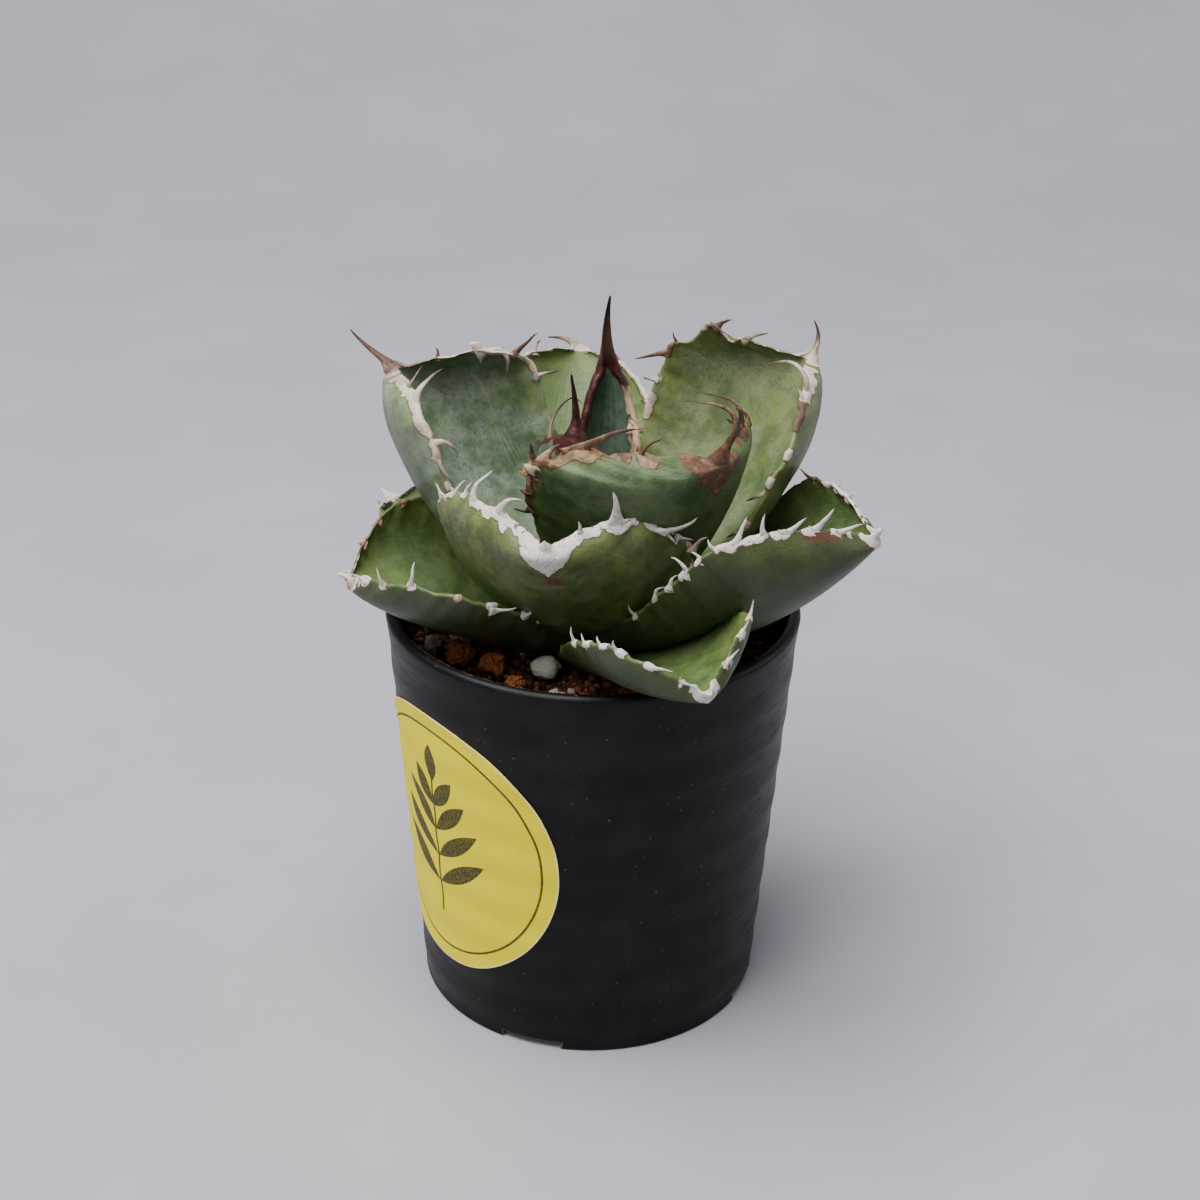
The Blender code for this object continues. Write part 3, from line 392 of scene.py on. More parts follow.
class Blade:
    """One leaf's midrib, its two margins and what grows along them."""

    def __init__(self, index, leaf):
        self.leaf, self.index = leaf, index
        self.spine_half = min(SPINE_MOST, SPINE_SHARE * leaf["width"])
        self.foot_turn = math.radians(SPIRAL_START + SPIRAL_STEP * index + leaf["turn"])
        self.u = np.linspace(0, 1, FINE_STEPS)
        steps = axes_at(leaf, self.foot_turn, (self.u[1:] + self.u[:-1]) / 2)[0]
        out = LEAF_OUT + LEAF_OUT_STEP * index
        start = np.array([out * math.cos(self.foot_turn), out * math.sin(self.foot_turn),
                          LEAF_TOP - LEAF_STEP * index])
        path = np.cumsum(steps * leaf["length"] / (FINE_STEPS - 1), axis=0)
        self.midrib = start + np.vstack([np.zeros(3), path])
        self.from_tip, self.ways, self.shift, self.margin, self.horn = {}, {}, {}, {}, {}
        for side in (-1, 1):
            self.find_margin(side)

    def find_margin(self, side):
        """The margin with its humps, and the ways out from it, to the tip and to the upper face."""
        whole = bent_face(self.sections(self.u), np.array([float(side)]), self.leaf["skew"])
        edge, upward, sideways = (part[:, 0] for part in whole)
        ahead = unit(np.gradient(edge, axis=0))
        along = axes_at(self.leaf, self.foot_turn, self.u)[0]
        outward = unit(np.cross(ahead, upward))
        outward = outward * np.sign(((sideways * side + 0.4 * along) * outward).sum(1, keepdims=True))
        run = np.concatenate([[0], np.cumsum(np.linalg.norm(np.diff(edge, axis=0), axis=1))])
        self.from_tip[side] = run = run[-1] - run
        settled = ease(0.0, 5.0, run) * ease(0.0, 0.25, self.u)
        hump = HUMP_HEIGHT * waves(run, self.index * 7 + side, HUMP_LENGTH)
        for tooth_side, place, _, width, *_ in self.leaf["teeth"]:
            if tooth_side == side:
                hump += TOOTH_HUMP * width * np.exp(-((run - place) / (0.6 * width + 0.8)) ** 2)
        for bump_side, place, height, width in self.leaf["bumps"]:
            if bump_side == side:
                hump += height * np.exp(-((run - place) / width) ** 2)
        wave = WAVE_HEIGHT * waves(run, self.index * 11 + side, WAVE_LENGTH)
        self.shift[side] = outward * (hump * settled)[:, None] + upward * (wave * settled)[:, None]
        self.margin[side] = edge + self.shift[side]
        self.ways[side] = outward, ahead, upward
        self.horn[side] = self.horn_depth(side)

    def sections(self, u):
        _, across, upper = axes_at(self.leaf, self.foot_turn, u)
        centre = along_leaf(u, self.u, self.midrib)
        half = np.maximum(self.leaf["width"] / 2 * blade_share(self.leaf, u), self.spine_half)
        wrap = np.radians(mix(self.leaf["cup"][0], self.leaf["cup"][1], u))
        return centre, across, upper, half, wrap

    def face(self, u, v):
        """Points on the upper face, the way towards it and the way across it, each rows by columns."""
        points, upward, sideways = bent_face(self.sections(u), v, self.leaf["skew"])
        left, right = (along_leaf(u, self.u, self.shift[side])[:, None] for side in (-1, 1))
        reach = (np.abs(v) ** 3)[None, :, None]
        return points + np.where(v[None, :, None] < 0, left, right) * reach, upward, sideways

    def horn_depth(self, side):
        """How deep the horn reaches in from the margin, and its tone there."""
        run = self.from_tip[side]
        ragged = 1 + 0.35 * waves(run, self.index * 5 + side, 6.0)
        total, tone = np.full_like(run, BARE_MARGIN), np.zeros_like(run)
        for border_side, start, end, depth, colour in self.leaf["border"]:
            if border_side == side:
                begun = ease(start - 1.0, start + 0.6, run) if start else 1.0
                here = begun * (1 - ease(end - 1.2, end + 1.2, run))
                depth = mix(BARE_MARGIN, depth * ragged, here)
                tone = np.where(depth > total, colour, tone)
                total = np.maximum(total, depth)
        for tooth_side, place, _, width, *_, colour in self.leaf["teeth"]:
            if tooth_side == side:
                here = np.exp(-((run - place) / (0.5 * width + 0.4)) ** 4)
                foot = mix(BARE_MARGIN, 0.26 * width * ragged, here)
                tone = np.where(foot > total, colour, tone)
                total = np.maximum(total, foot)
        return total, tone


def along_leaf(u, table_u, table):
    return np.stack([np.interp(u, table_u, table[:, k]) for k in range(3)], -1)


def bent_face(sections, v, skew):
    centre, across, upper, half, wrap = sections
    bend = (half / wrap)[:, None, None]
    angle = wrap[:, None] * ((1 - skew * v) * v)[None, :]
    cos, sin = np.cos(angle)[..., None], np.sin(angle)[..., None]
    across, upper = across[:, None], upper[:, None]
    points = centre[:, None] + across * bend * sin + upper * bend * (1 - cos)
    return points, upper * cos - across * sin, across * cos + upper * sin


def smooth_path(points, count):
    """A curve through a few points, evenly stepped."""
    padded = np.vstack([2 * points[0] - points[1], points, 2 * points[-1] - points[-2]])
    out = []
    for t in np.linspace(0, len(points) - 1, count):
        k = min(int(t), len(points) - 2)
        f = t - k
        a, b, c, d = padded[k:k + 4]
        out.append(0.5 * (2 * b + (c - a) * f + (2 * a - 5 * b + 4 * c - d) * f * f
                          + (3 * b - a - 3 * c + d) * f ** 3))
    return np.array(out)


def spine_sections(blade):
    """The terminal spine: its midline, axes, half-width and wrap."""
    leaf = blade.leaf
    slope_end = math.radians(leaf["rise"][1])
    tip_turn = blade.foot_turn + math.radians(leaf["sway"])
    wrap_end = min(leaf["cup"][1], SPINE_CUP)
    points = [blade.midrib[-1]]
    for step in range(1, 5):
        t = math.sqrt(step / 4)
        along = turned_axes(np.array([mix(slope_end, math.radians(leaf["point"]), t)]),
                            np.array([tip_turn + math.radians(leaf["veer"]) * t]), np.zeros(1))[0][0]
        points.append(points[-1] + along * leaf["spine"] / 4)
    t = np.linspace(0, 1, SPINE_ROWS + 1)
    centre = smooth_path(np.array(points), SPINE_ROWS + 1)
    root = np.sqrt(t)
    _, across, upper = turned_axes(mix(slope_end, math.radians(leaf["point"]), root),
                                   tip_turn + math.radians(leaf["veer"]) * root,
                                   np.full_like(t, math.radians(leaf["roll"])))
    neck = leaf["neck"] * blade.spine_half
    half = mix(mix(blade.spine_half, neck, ease(0.0, 0.2, t)), SPINE_POINT, t ** 0.8)
    for way, middle, end in zip((across, upper), leaf["bow"], leaf["hook"]):
        centre = centre + way * (middle * np.sin(np.pi * t) + end * t ** 4)[:, None]
    wrap = np.radians(mix(leaf["cup"][1], wrap_end, ease(0, 0.3, t)))
    return t[1:], [part[1:] for part in (centre, across, upper, half, wrap)]


def shape_blade(blade):
    """Both faces of the blade before its spine and edges are put on, with the values painted on them."""
    leaf = blade.leaf
    mean_run = (blade.from_tip[-1] + blade.from_tip[1]) / 2
    u = np.interp(np.linspace(mean_run[0], 0, BLADE_ROWS), mean_run[::-1], blade.u[::-1])
    even = np.linspace(-1, 1, BLADE_COLUMNS)
    v = (1 - CROWDING) * even + CROWDING * np.sin(np.pi / 2 * even)
    top, upward, sideways = blade.face(u, v)
    edge_gap = np.full(top.shape[:2], np.inf)
    edge_depth, tone = np.zeros(top.shape[:2]), np.zeros(top.shape[:2])
    for side in (-1, 1):
        gaps = np.linalg.norm(top[:, :, None] - blade.margin[side][None, None, ::MARGIN_STEP], axis=-1)
        nearest, gap = gaps.argmin(-1), gaps.min(-1)
        closer = gap < edge_gap
        edge_gap = np.where(closer, gap, edge_gap)
        depth_there, tone_there = (values[::MARGIN_STEP][nearest] for values in blade.horn[side])
        edge_depth = np.where(closer, depth_there, edge_depth)
        tone = np.where(closer, tone_there, tone)
    horn_top = edge_depth - edge_gap
    from_tip = ((1 - u) * leaf["length"])[:, None]
    half = blade.sections(u)[3][:, None]
    sideways_reach = np.abs(v)[None, :] * half
    ragged = 0.6 * waves(sideways_reach + from_tip, blade.index, 5.0)
    horn_under = np.maximum(horn_top, 0.5 * (leaf["plate"] - from_tip - 1.25 * sideways_reach + ragged))
    scars = np.zeros((2, *top.shape[:2]))
    for across, place, size, lower in leaf["scars"]:
        offset = np.hypot((v[None, :] - across) * half, 0.8 * (from_tip - place))
        scars[lower] = np.maximum(scars[lower], 1 - ease(0.55, 1.15, offset / size))
    middle = mix(LEAF_BASE_THICKNESS, LEAF_TIP_THICKNESS, u)[:, None]
    thick = mix(middle, LEAF_EDGE_THICKNESS, v[None, :] ** 2)
    grooves = (GROOVE_DEPTH * waves(v * 30, blade.index + 40, 9.0) * (1 - v ** 4))[None, :]
    under = top - upward * (thick - grooves)[..., None]
    top = top + upward * (HORN_RELIEF * ease(-0.1, 0.6, horn_top) + 0.5 * grooves)[..., None]
    under = under - upward * (HORN_RELIEF * ease(-0.1, 0.6, horn_under))[..., None]
    blade.faces = dict(u=u, v=v, top=top, under=under, upward=upward, sideways=sideways, thick=thick,
                       edge_gap=edge_gap, tone=tone, horn_top=horn_top, horn_under=horn_under, scars=scars)


def face_tree(points):
    rows, columns = points.shape[:2]
    quads = [(r * columns + c, r * columns + c + 1, (r + 1) * columns + c + 1, (r + 1) * columns + c)
             for r in range(rows - 1) for c in range(columns - 1)]
    return BVHTree.FromPolygons(points.reshape(-1, 3).tolist(), quads)


def spread_out(push):
    """Each value averaged with its eight neighbours."""
    near = np.pad(push, 1, mode="edge")
    return sum(near[r:r + push.shape[0], c:c + push.shape[1]] for r in range(3) for c in range(3)) / 9


def tuck_under(older, younger):
    """An old leaf gives way wherever a younger one lies over it."""
    tree, sink = face_tree(younger["under"]), np.zeros(older["thick"].shape)
    for place in np.ndindex(*sink.shape):
        way = Vector(-older["upward"][place])
        _, _, _, gap = tree.ray_cast(Vector(older["top"][place]), way, TUCK_REACH)
        if gap is not None:
            sink[place] = gap + 2 * PRESS_GAP
    for _ in range(3):
        sink = np.maximum(sink, spread_out(sink))
    for face in ("top", "under"):
        older[face] = older[face] - older["upward"] * sink[..., None]


def press_leaves(blades):
    """Younger leaves flatten where they lean into the upper face of an older one."""
    for index, blade in enumerate(blades):
        if blade.leaf["tucked"]:
            for younger in blades[:index]:
                tuck_under(blade.faces, younger.faces)
    trees = [face_tree(blade.faces["top"]) for blade in blades]
    for index, blade in enumerate(blades):
        faces = blade.faces
        under, upward, thick = faces["under"], faces["upward"], faces["thick"]
        push = np.zeros(thick.shape)
        low, high = under.min((0, 1)), under.max((0, 1))
        for older in range(index + 1, len(blades)):
            other = blades[older].faces["top"]
            if (other.max((0, 1)) < low).any() or (other.min((0, 1)) > high).any():
                continue
            for place in np.ndindex(*thick.shape):
                start, reach = Vector(under[place]), float(thick[place]) + PRESS_REACH
                _, _, _, gap = trees[older].ray_cast(start, Vector(upward[place]), reach)
                if gap is not None:
                    push[place] = max(push[place], gap + PRESS_GAP)
        push = np.maximum(push, spread_out(push))
        faces["under"] = under + upward * push[..., None]
        pushed_top = np.maximum(0.0, push - thick + THINNEST)
        faces["top"] = faces["top"] + upward * pushed_top[..., None]


def leaf_body(shell, blade):
    leaf, faces = blade.leaf, blade.faces
    u, v, top, under = (faces[key] for key in ("u", "v", "top", "under"))
    upward, sideways, edge_gap, tone = (faces[key] for key in ("upward", "sideways", "edge_gap", "tone"))
    t, spine = spine_sections(blade)
    spine_top, spine_up, spine_side = bent_face(spine, v, 0.0)
    half = spine[3][:, None]
    blend = ease(0.0, SPINE_BLEND, t)[:, None]
    spine_thick = mix(mix(LEAF_TIP_THICKNESS, LEAF_EDGE_THICKNESS, v[None, :] ** 2),
                      mix(1.25 * half, 0.55 * half, v[None, :] ** 2), blend)
    spine_under = spine_top - spine_up * spine_thick[..., None]
    top, under = np.vstack([top, spine_top]), np.vstack([under, spine_under])
    upward, sideways = np.vstack([upward, spine_up]), np.vstack([sideways, spine_side])
    rows, columns = top.shape[:2]

    def rounded(column, side):
        """Points round the edge, from the upper face to the lower."""
        middle_point = (top[:, column] + under[:, column]) / 2
        radius = np.linalg.norm(top[:, column] - under[:, column], axis=-1)[:, None] / 2
        turns = [math.pi * k / (EDGE_POINTS + 1) for k in range(1, EDGE_POINTS + 1)]
        return np.stack([middle_point + upward[:, column] * radius * math.cos(a)
                         + side * sideways[:, column] * radius * math.sin(a) for a in turns], 1)

    rings = np.concatenate([top, rounded(-1, 1), under[:, ::-1], rounded(0, -1)[:, ::-1]], axis=1)
    around = rings.shape[1]

    def all_round(upper_values, under_values, right, left):
        pad = np.ones((rows, EDGE_POINTS))
        return np.concatenate([upper_values, right * pad, under_values[:, ::-1], left * pad], axis=1)

    def with_spine(values, at_spine):
        return np.vstack([values, np.full((len(t), columns), at_spine)])

    horn_top, horn_under = (with_spine(faces[key], ALL_HORN) for key in ("horn_top", "horn_under"))
    across = np.broadcast_to(v[None, :], (rows, columns))
    along = np.concatenate([u, np.ones(len(t))])[:, None] * np.ones((1, columns))
    gap = with_spine(edge_gap, 0.0)
    reach = np.concatenate([np.zeros(len(u)), t])[:, None] * np.ones((1, columns))
    spine_tone = mix(tone[-1, 0], leaf["spine_tone"], ease(0.0, SPINE_BLEND, t))
    tone = np.vstack([tone, np.repeat(spine_tone[:, None], columns, 1)])
    scar_top, scar_under = (with_spine(scar, 0.0) for scar in faces["scars"])
    edge_horn = [np.maximum(horn_top[:, c], horn_under[:, c])[:, None] for c in (-1, 0)]
    values = dict(
        horn=all_round(horn_top, horn_under, *edge_horn),
        across=all_round(across, across, 1.0, -1.0),
        along=all_round(along, along, along[:, :1], along[:, :1]),
        edge=all_round(gap, gap, 0.0, 0.0),
        under=all_round(0 * gap, 0 * gap + 1, 0.5, 0.5),
        tone=all_round(tone, tone, tone[:, -1:], tone[:, :1]),
        scar=all_round(scar_top, scar_under, scar_top[:, -1:], scar_top[:, :1]),
        reach=all_round(reach, reach, reach[:, :1], reach[:, :1]))
    ends = np.array([rings[0].mean(0), rings[-1].mean(0) + unit(spine[0][-1] - spine[0][-2]) * 0.4])
    flat_values = {key: np.concatenate([value.ravel(), [value[0].mean(), value[-1].mean()]])
                   for key, value in values.items()}
    shell.add(np.vstack([rings.reshape(-1, 3), ends]), ring_faces(rows, around), **flat_values)


def tooth(shell, blade, side, place, length, width, lean, curl, lift, tone):
    """A flat horn, wide where it grows out of the margin and hooked towards its point."""
    run = blade.from_tip[side]
    at = float(np.interp(place, run[::-1], blade.u[::-1]))
    outward, towards_tip, rise = (along_leaf(at, blade.u, way) for way in blade.ways[side])
    root = along_leaf(at, blade.u, blade.margin[side])
    base = root - rise * (LEAF_EDGE_THICKNESS / 2 + max(0.0, -lift) / 22) - outward * TOOTH_ROOT

    chance = random.Random(int(place * 10) + blade.index * 1000 + side)
    t = np.linspace(0, 1, TOOTH_ROWS)
    twist = np.radians(lean + curl * t ** 1.3 + 9 * waves(t, chance.random(), 0.9, 3))
    lifted = np.radians(lift * ease(0.0, 0.75, t) + 8 * waves(t, chance.random(), 0.8, 3))
    level = np.cos(twist)[:, None] * outward + np.sin(twist)[:, None] * towards_tip
    heading = level * np.cos(lifted)[:, None] + rise * np.sin(lifted)[:, None]
    centre = base + np.vstack([np.zeros(3), np.cumsum((heading[1:] + heading[:-1]) / 2, axis=0)
                               * (length + TOOTH_ROOT) / (TOOTH_ROWS - 1)])
    broad = unit(towards_tip - heading * (heading @ towards_tip)[:, None])
    flat = np.cross(heading, broad)
    flared_foot, shaft = 0.38 * width * (1 - t) ** 5, (0.14 * width + 0.2) * (1 - t) ** 0.6
    half_width = flared_foot + shaft + 0.06
    half_depth = np.minimum(0.45 * half_width + 0.18 * (1 - t), 0.8)
    turns = np.linspace(0, 2 * math.pi, TOOTH_SIDES, endpoint=False)
    rings = (centre[:, None] + broad[:, None] * (half_width[:, None] * np.cos(turns))[..., None]
             + flat[:, None] * (half_depth[:, None] * np.sin(turns))[..., None])
    ends = np.array([rings[0].mean(0), centre[-1] + heading[-1] * 0.3])
    shell.add(np.vstack([rings.reshape(-1, 3), ends]), ring_faces(TOOTH_ROWS, TOOTH_SIDES),
              horn=ALL_HORN, across=float(side), along=at, edge=0.0, under=0.0, tone=tone,
              reach=np.concatenate([np.repeat(t, TOOTH_SIDES), [0.0, 1.0]]))


# ---- wiring of the finishes -------------------------------------------------------------------
class Wiring:
    """Adds nodes to a material or a group and links them."""

    def __init__(self, tree):
        self.tree = tree

    def node(self, kind, inputs=None, **settings):
        node = self.tree.nodes.new(kind)
        for key, value in settings.items():
            setattr(node, key, value)
        for key, value in (inputs or {}).items():
            if isinstance(value, bpy.types.NodeSocket):
                self.tree.links.new(value, node.inputs[key])
            else:
                node.inputs[key].default_value = value
        return node

    def maths(self, operation, a, b=0.0):
        return self.node("ShaderNodeMath", {0: a, 1: b}, operation=operation).outputs[0]

    def plus(self, a, b):
        return self.maths("ADD", a, b)

    def times(self, a, b):
        return self.maths("MULTIPLY", a, b)

    def group(self, tree, inputs):
        return self.node("ShaderNodeGroup", inputs, node_tree=tree).outputs

    def stretched(self, place, x, y, z):
        return self.node("ShaderNodeVectorMath", {0: place, 1: (x, y, z)}, operation="MULTIPLY").outputs[0]

    def give(self, out, **values):
        """Links values to a group's outputs by name."""
        for name, value in values.items():
            self.tree.links.new(value, out.inputs[name])

    def noise(self, place, scale, detail=3.0, roughness=0.55):
        return self.node("ShaderNodeTexNoise", {"Vector": place, "Scale": scale, "Detail": detail,
                                                "Roughness": roughness}).outputs[0]

    def blend(self, factor, a, b):
        node = self.node("ShaderNodeMix", {0: factor, 6: a, 7: b}, data_type="RGBA")
        return node.outputs[2]

    def band(self, value, low, high, at_low=0.0, at_high=1.0):
        return self.node("ShaderNodeMapRange", {"Value": value, "From Min": low, "From Max": high,
                                                "To Min": at_low, "To Max": at_high},
                         interpolation_type="SMOOTHSTEP").outputs[0]

    def kept(self, name):
        """A value kept on the mesh's points."""
        return self.node("ShaderNodeAttribute", attribute_name=name).outputs["Fac"]

    def place_mm(self):
        where = self.node("ShaderNodeTexCoord").outputs["Object"]
        return self.node("ShaderNodeVectorMath", {0: where, "Scale": 1000.0}, operation="SCALE").outputs[0]


def start_group(name, inputs, outputs):
    tree = bpy.data.node_groups.new(name, "ShaderNodeTree")
    kinds = {"colour": "NodeSocketColor", "value": "NodeSocketFloat", "place": "NodeSocketVector"}
    for key, kind in inputs.items():
        tree.interface.new_socket(name=key, in_out="INPUT", socket_type=kinds[kind])
    for key, kind in outputs.items():
        tree.interface.new_socket(name=key, in_out="OUTPUT", socket_type=kinds[kind])
    wire = Wiring(tree)
    return wire, wire.node("NodeGroupInput").outputs, wire.node("NodeGroupOutput")


def dust_group():
    """Pale specks and a thin uneven film."""
    w, given, out = start_group(
        "settled_dust", {"Specks": "value", "Film": "value"}, {"Mask": "value"})
    place = w.place_mm()
    cells = w.node("ShaderNodeTexVoronoi", {"Vector": place, "Scale": 0.42, "Randomness": 1.0})
    speck = w.band(cells.outputs["Distance"], 0.05, 0.17, 1.0, 0.0)
    chosen = w.band(w.noise(place, 0.16, 4.0), 0.5, 0.66)
    film = w.band(w.noise(place, 0.045, 6.0, 0.65), 0.42, 0.72)
    total = w.plus(w.times(w.times(speck, chosen), given["Specks"]),
                    w.times(film, given["Film"]))
    w.give(out, Mask=w.maths("MINIMUM", total, 1.0))
    return w.tree


def skin_group():
    """Leaf skin: two greens, streaks along the blade, waxy bloom, pale prints left by younger leaves, and
    painted shade on the lower faces.
    """
    w, given, out = start_group(
        "leaf_skin", {"Deep": "colour", "Fresh": "colour", "Bloom": "colour", "Bloom Amount": "value",
                      "Stripes": "value", "Painted Shade Below": "value"},
        {"Colour": "colour", "Roughness": "value", "Height": "value"})
    place, across, along = w.place_mm(), w.kept("across"), w.kept("along")
    streak_place = w.node("ShaderNodeCombineXYZ", {0: w.times(across, 34.0),
                                                   1: w.times(along, 3.2),
                                                   2: w.kept("under")}).outputs[0]
    streaks = w.noise(streak_place, 1.0, 4.0, 0.6)
    stripes = w.noise(streak_place, 0.32, 3.0, 0.5)
    clouds, mottle = w.noise(place, 0.055, 4.0, 0.6), w.noise(place, 0.24, 5.0, 0.65)
    grain = w.noise(place, 1.0, 5.0, 0.78)
    near_edge = w.band(w.kept("edge"), 0.3, 6.5, 0.6, 0.0)
    fresh = w.plus(w.band(clouds, 0.38, 0.72, 0.0, 0.6), near_edge)
    fresh = w.plus(fresh, w.band(along, 0.0, 0.32, 0.45, 0.0))
    fresh = w.plus(fresh, w.band(mottle, 0.4, 0.66, -0.2, 0.3))
    colour = w.blend(w.node("ShaderNodeClamp", {0: fresh}).outputs[0], given["Deep"], given["Fresh"])
    colour = w.blend(w.times(w.band(streaks, 0.5, 0.8, 0.0, 0.7), w.plus(given["Stripes"], 0.2)),
                     colour, given["Deep"])
    striped = w.times(w.band(stripes, 0.46, 0.62, 0.0, 0.9), w.plus(given["Stripes"], -0.4))
    colour = w.blend(w.maths("MAXIMUM", striped, 0.0), colour, given["Fresh"])
    print_line = w.plus(w.maths("ABSOLUTE", across), w.times(w.noise(streak_place, 0.9, 2.0), -0.22))
    print_line = w.band(w.maths("ABSOLUTE", w.plus(print_line, -0.52)), 0.0, 0.03, 0.3, 0.0)
    bloom = w.times(w.band(w.noise(place, 0.09, 6.0, 0.62), 0.34, 0.66), given["Bloom Amount"])
    bloom = w.times(bloom, w.band(grain, 0.36, 0.62, 0.3, 1.15))
    bloom = w.maths("MINIMUM", w.plus(bloom, w.times(print_line, given["Bloom Amount"])), 1.0)
    colour = w.blend(bloom, colour, given["Bloom"])
    colour = w.blend(w.band(grain, 0.5, 0.66, 0.0, 0.42), colour, given["Deep"])
    colour = w.blend(w.band(mottle, 0.34, 0.5, 0.3, 0.0), colour, given["Deep"])
    # Painted shade: the lower faces are darkened towards a dark green, as far as the skin's last value says.
    colour = w.blend(w.times(w.kept("under"), given["Painted Shade Below"]), colour, shade(18, 26, 10))
    w.give(out, Colour=colour, Roughness=w.band(bloom, 0.0, 0.7, 0.38, 0.6),
           Height=w.plus(w.times(streaks, 0.5), w.times(grain, 0.55)))
    return w.tree


def horn_group():
    """Dry horn: stained in patches, specked, darker towards the point of a tooth."""
    w, given, out = start_group(
        "horny_crust", {"Main": "colour", "Stain": "colour", "Point": "colour", "Bleached": "colour",
                        "Stain Amount": "value", "Specks": "value", "Polish": "value"},
        {"Colour": "colour", "Roughness": "value", "Height": "value"})
    place = w.place_mm()
    patches, grit = w.noise(place, 0.34, 5.0, 0.65), w.noise(place, 1.9, 3.0, 0.6)
    stain = w.times(w.band(patches, 0.36, 0.64), w.times(given["Stain Amount"], 1.5))
    tone = w.kept("tone")
    stain = w.plus(stain, w.times(w.maths("MINIMUM", tone, 0.0), -1.0))
    colour = w.blend(w.maths("MINIMUM", stain, 1.0), given["Main"], given["Stain"])
    colour = w.blend(w.times(w.maths("MAXIMUM", tone, 0.0), 0.9), colour, given["Bleached"])
    flow = w.node("ShaderNodeCombineXYZ", {0: w.times(w.kept("across"), 9.0),
                                           1: w.times(w.kept("reach"), 2.0)}).outputs[0]
    streaks = w.noise(flow, 2.0, 3.0, 0.6)
    colour = w.blend(w.band(streaks, 0.5, 0.75, 0.0, 0.4), colour, given["Stain"])
    colour = w.blend(w.band(streaks, 0.42, 0.3, 0.0, 0.3), colour, given["Main"])
    tip = w.band(w.plus(w.kept("reach"), w.times(patches, 0.5)), 0.62, 1.12)
    colour = w.blend(tip, colour, given["Point"])
    specks = w.times(w.band(w.noise(place, 1.15, 2.0, 0.5), 0.6, 0.7), given["Specks"])
    colour = w.blend(specks, colour, shade(88, 80, 84))
    rough = w.plus(w.band(grit, 0.3, 0.7, 0.58, 0.85), w.times(given["Polish"], -0.3))
    w.give(out, Colour=colour, Roughness=rough, Height=w.plus(patches, w.times(grit, 0.5)))
    return w.tree


def new_finish(name):
    material = bpy.data.materials.new(name)
    material.use_nodes = True
    material.node_tree.nodes.clear()
    return material, Wiring(material.node_tree)


def close_finish(w, colour, roughness, height=None, bump_mm=0.15, **sockets):
    """The surface itself: colour, roughness and bump from the nodes, the rest set plainly on it."""
    surface = w.node("ShaderNodeBsdfPrincipled", {"Base Color": colour, "Roughness": roughness, **sockets})
    if height is not None:
        bump = w.node("ShaderNodeBump", {"Height": height, "Distance": bump_mm * MM, "Strength": 1.0})
        w.tree.links.new(bump.outputs[0], surface.inputs["Normal"])
    end = w.node("ShaderNodeOutputMaterial")
    w.tree.links.new(surface.outputs[0], end.inputs[0])


# ---- finishes ---------------------------------------------------------------------------------
SETTLED_DUST, LEAF_SKIN, HORNY_CRUST = dust_group(), skin_group(), horn_group()


def leaf_finish(leaf):
    """Skin over the blade, horn on its margins, teeth and spine, and a thin dark line between."""
    material, w = new_finish(leaf["name"] + "_skin")
    skin = w.group(LEAF_SKIN, dict(zip(SKIN_KEYS, SKINS[leaf["skin"]])))
    horn = w.group(HORNY_CRUST, dict(zip(HORN_KEYS, HORNS[leaf["horn"]])))
    ragged = w.times(w.plus(w.noise(w.place_mm(), 0.8, 4.0, 0.6), -0.5), 1.1)
    here = w.plus(w.kept("horn"), ragged)
    on_horn = w.band(here, -0.05, 0.16)
    line = w.times(w.band(here, -0.45, -0.05), w.band(here, 0.0, 0.12, 0.6, 0.0))
    scarred = w.times(w.kept("scar"), w.band(w.noise(w.place_mm(), 0.9, 4.0, 0.6), 0.25, 0.5))
    colour = w.blend(scarred, skin["Colour"], shade(84, 44, 30))
    colour = w.blend(line, colour, shade(84, 66, 36))
    colour = w.blend(on_horn, colour, horn["Colour"])
    rough = w.node("ShaderNodeMix", {0: on_horn, 2: skin["Roughness"], 3: horn["Roughness"]},
                   data_type="FLOAT").outputs[0]
    height = w.node("ShaderNodeMix", {0: on_horn, 2: skin["Height"],
                                      3: w.plus(horn["Height"], 0.6)},
                    data_type="FLOAT").outputs[0]
    close_finish(w, colour, rough, height, 0.28, **{"Specular IOR Level": 0.42})
    return material


def pot_finish():
    material, w = new_finish("black_nursery_plastic")
    place = w.place_mm()
    height = w.node("ShaderNodeSeparateXYZ", {0: place}).outputs[2]
    scuffs = w.noise(w.stretched(place, 0.25, 0.25, 1.6), 0.35, 6.0, 0.7)
    dust = w.group(SETTLED_DUST, {"Specks": 0.25, "Film": 0.02})["Mask"]
    base = w.blend(w.band(scuffs, 0.45, 0.75, 0.0, 0.5), shade(5, 5, 6), shade(11, 12, 14))
    colour = w.blend(dust, base, shade(150, 142, 132))
    inside = w.maths("LESS_THAN", w.kept("outside"), 0.5)
    uneven_height = w.plus(height, w.times(w.noise(place, 0.3, 4.0), 3.0))
    tide = w.band(uneven_height, SOIL_HEIGHT + 3, SOIL_HEIGHT + 7, 0.75, 0.05)
    colour = w.blend(w.times(inside, tide), colour, shade(104, 84, 64))
    settled = w.band(w.noise(place, 0.7, 5.0, 0.7), 0.4, 0.6)
    ledge = w.times(w.band(height, POT_HEIGHT - 4.1, POT_HEIGHT - 2.3, 0.0, 0.5), settled)
    colour = w.blend(w.times(inside, ledge), colour, shade(120, 108, 92))
    rough = w.band(w.plus(scuffs, dust), 0.3, 1.0, 0.36, 0.66)
    micro = w.plus(w.noise(place, 3.5, 2.0), w.times(scuffs, 0.8))
    close_finish(w, colour, rough, micro, 0.05, **{"Specular IOR Level": 0.18})
    return material


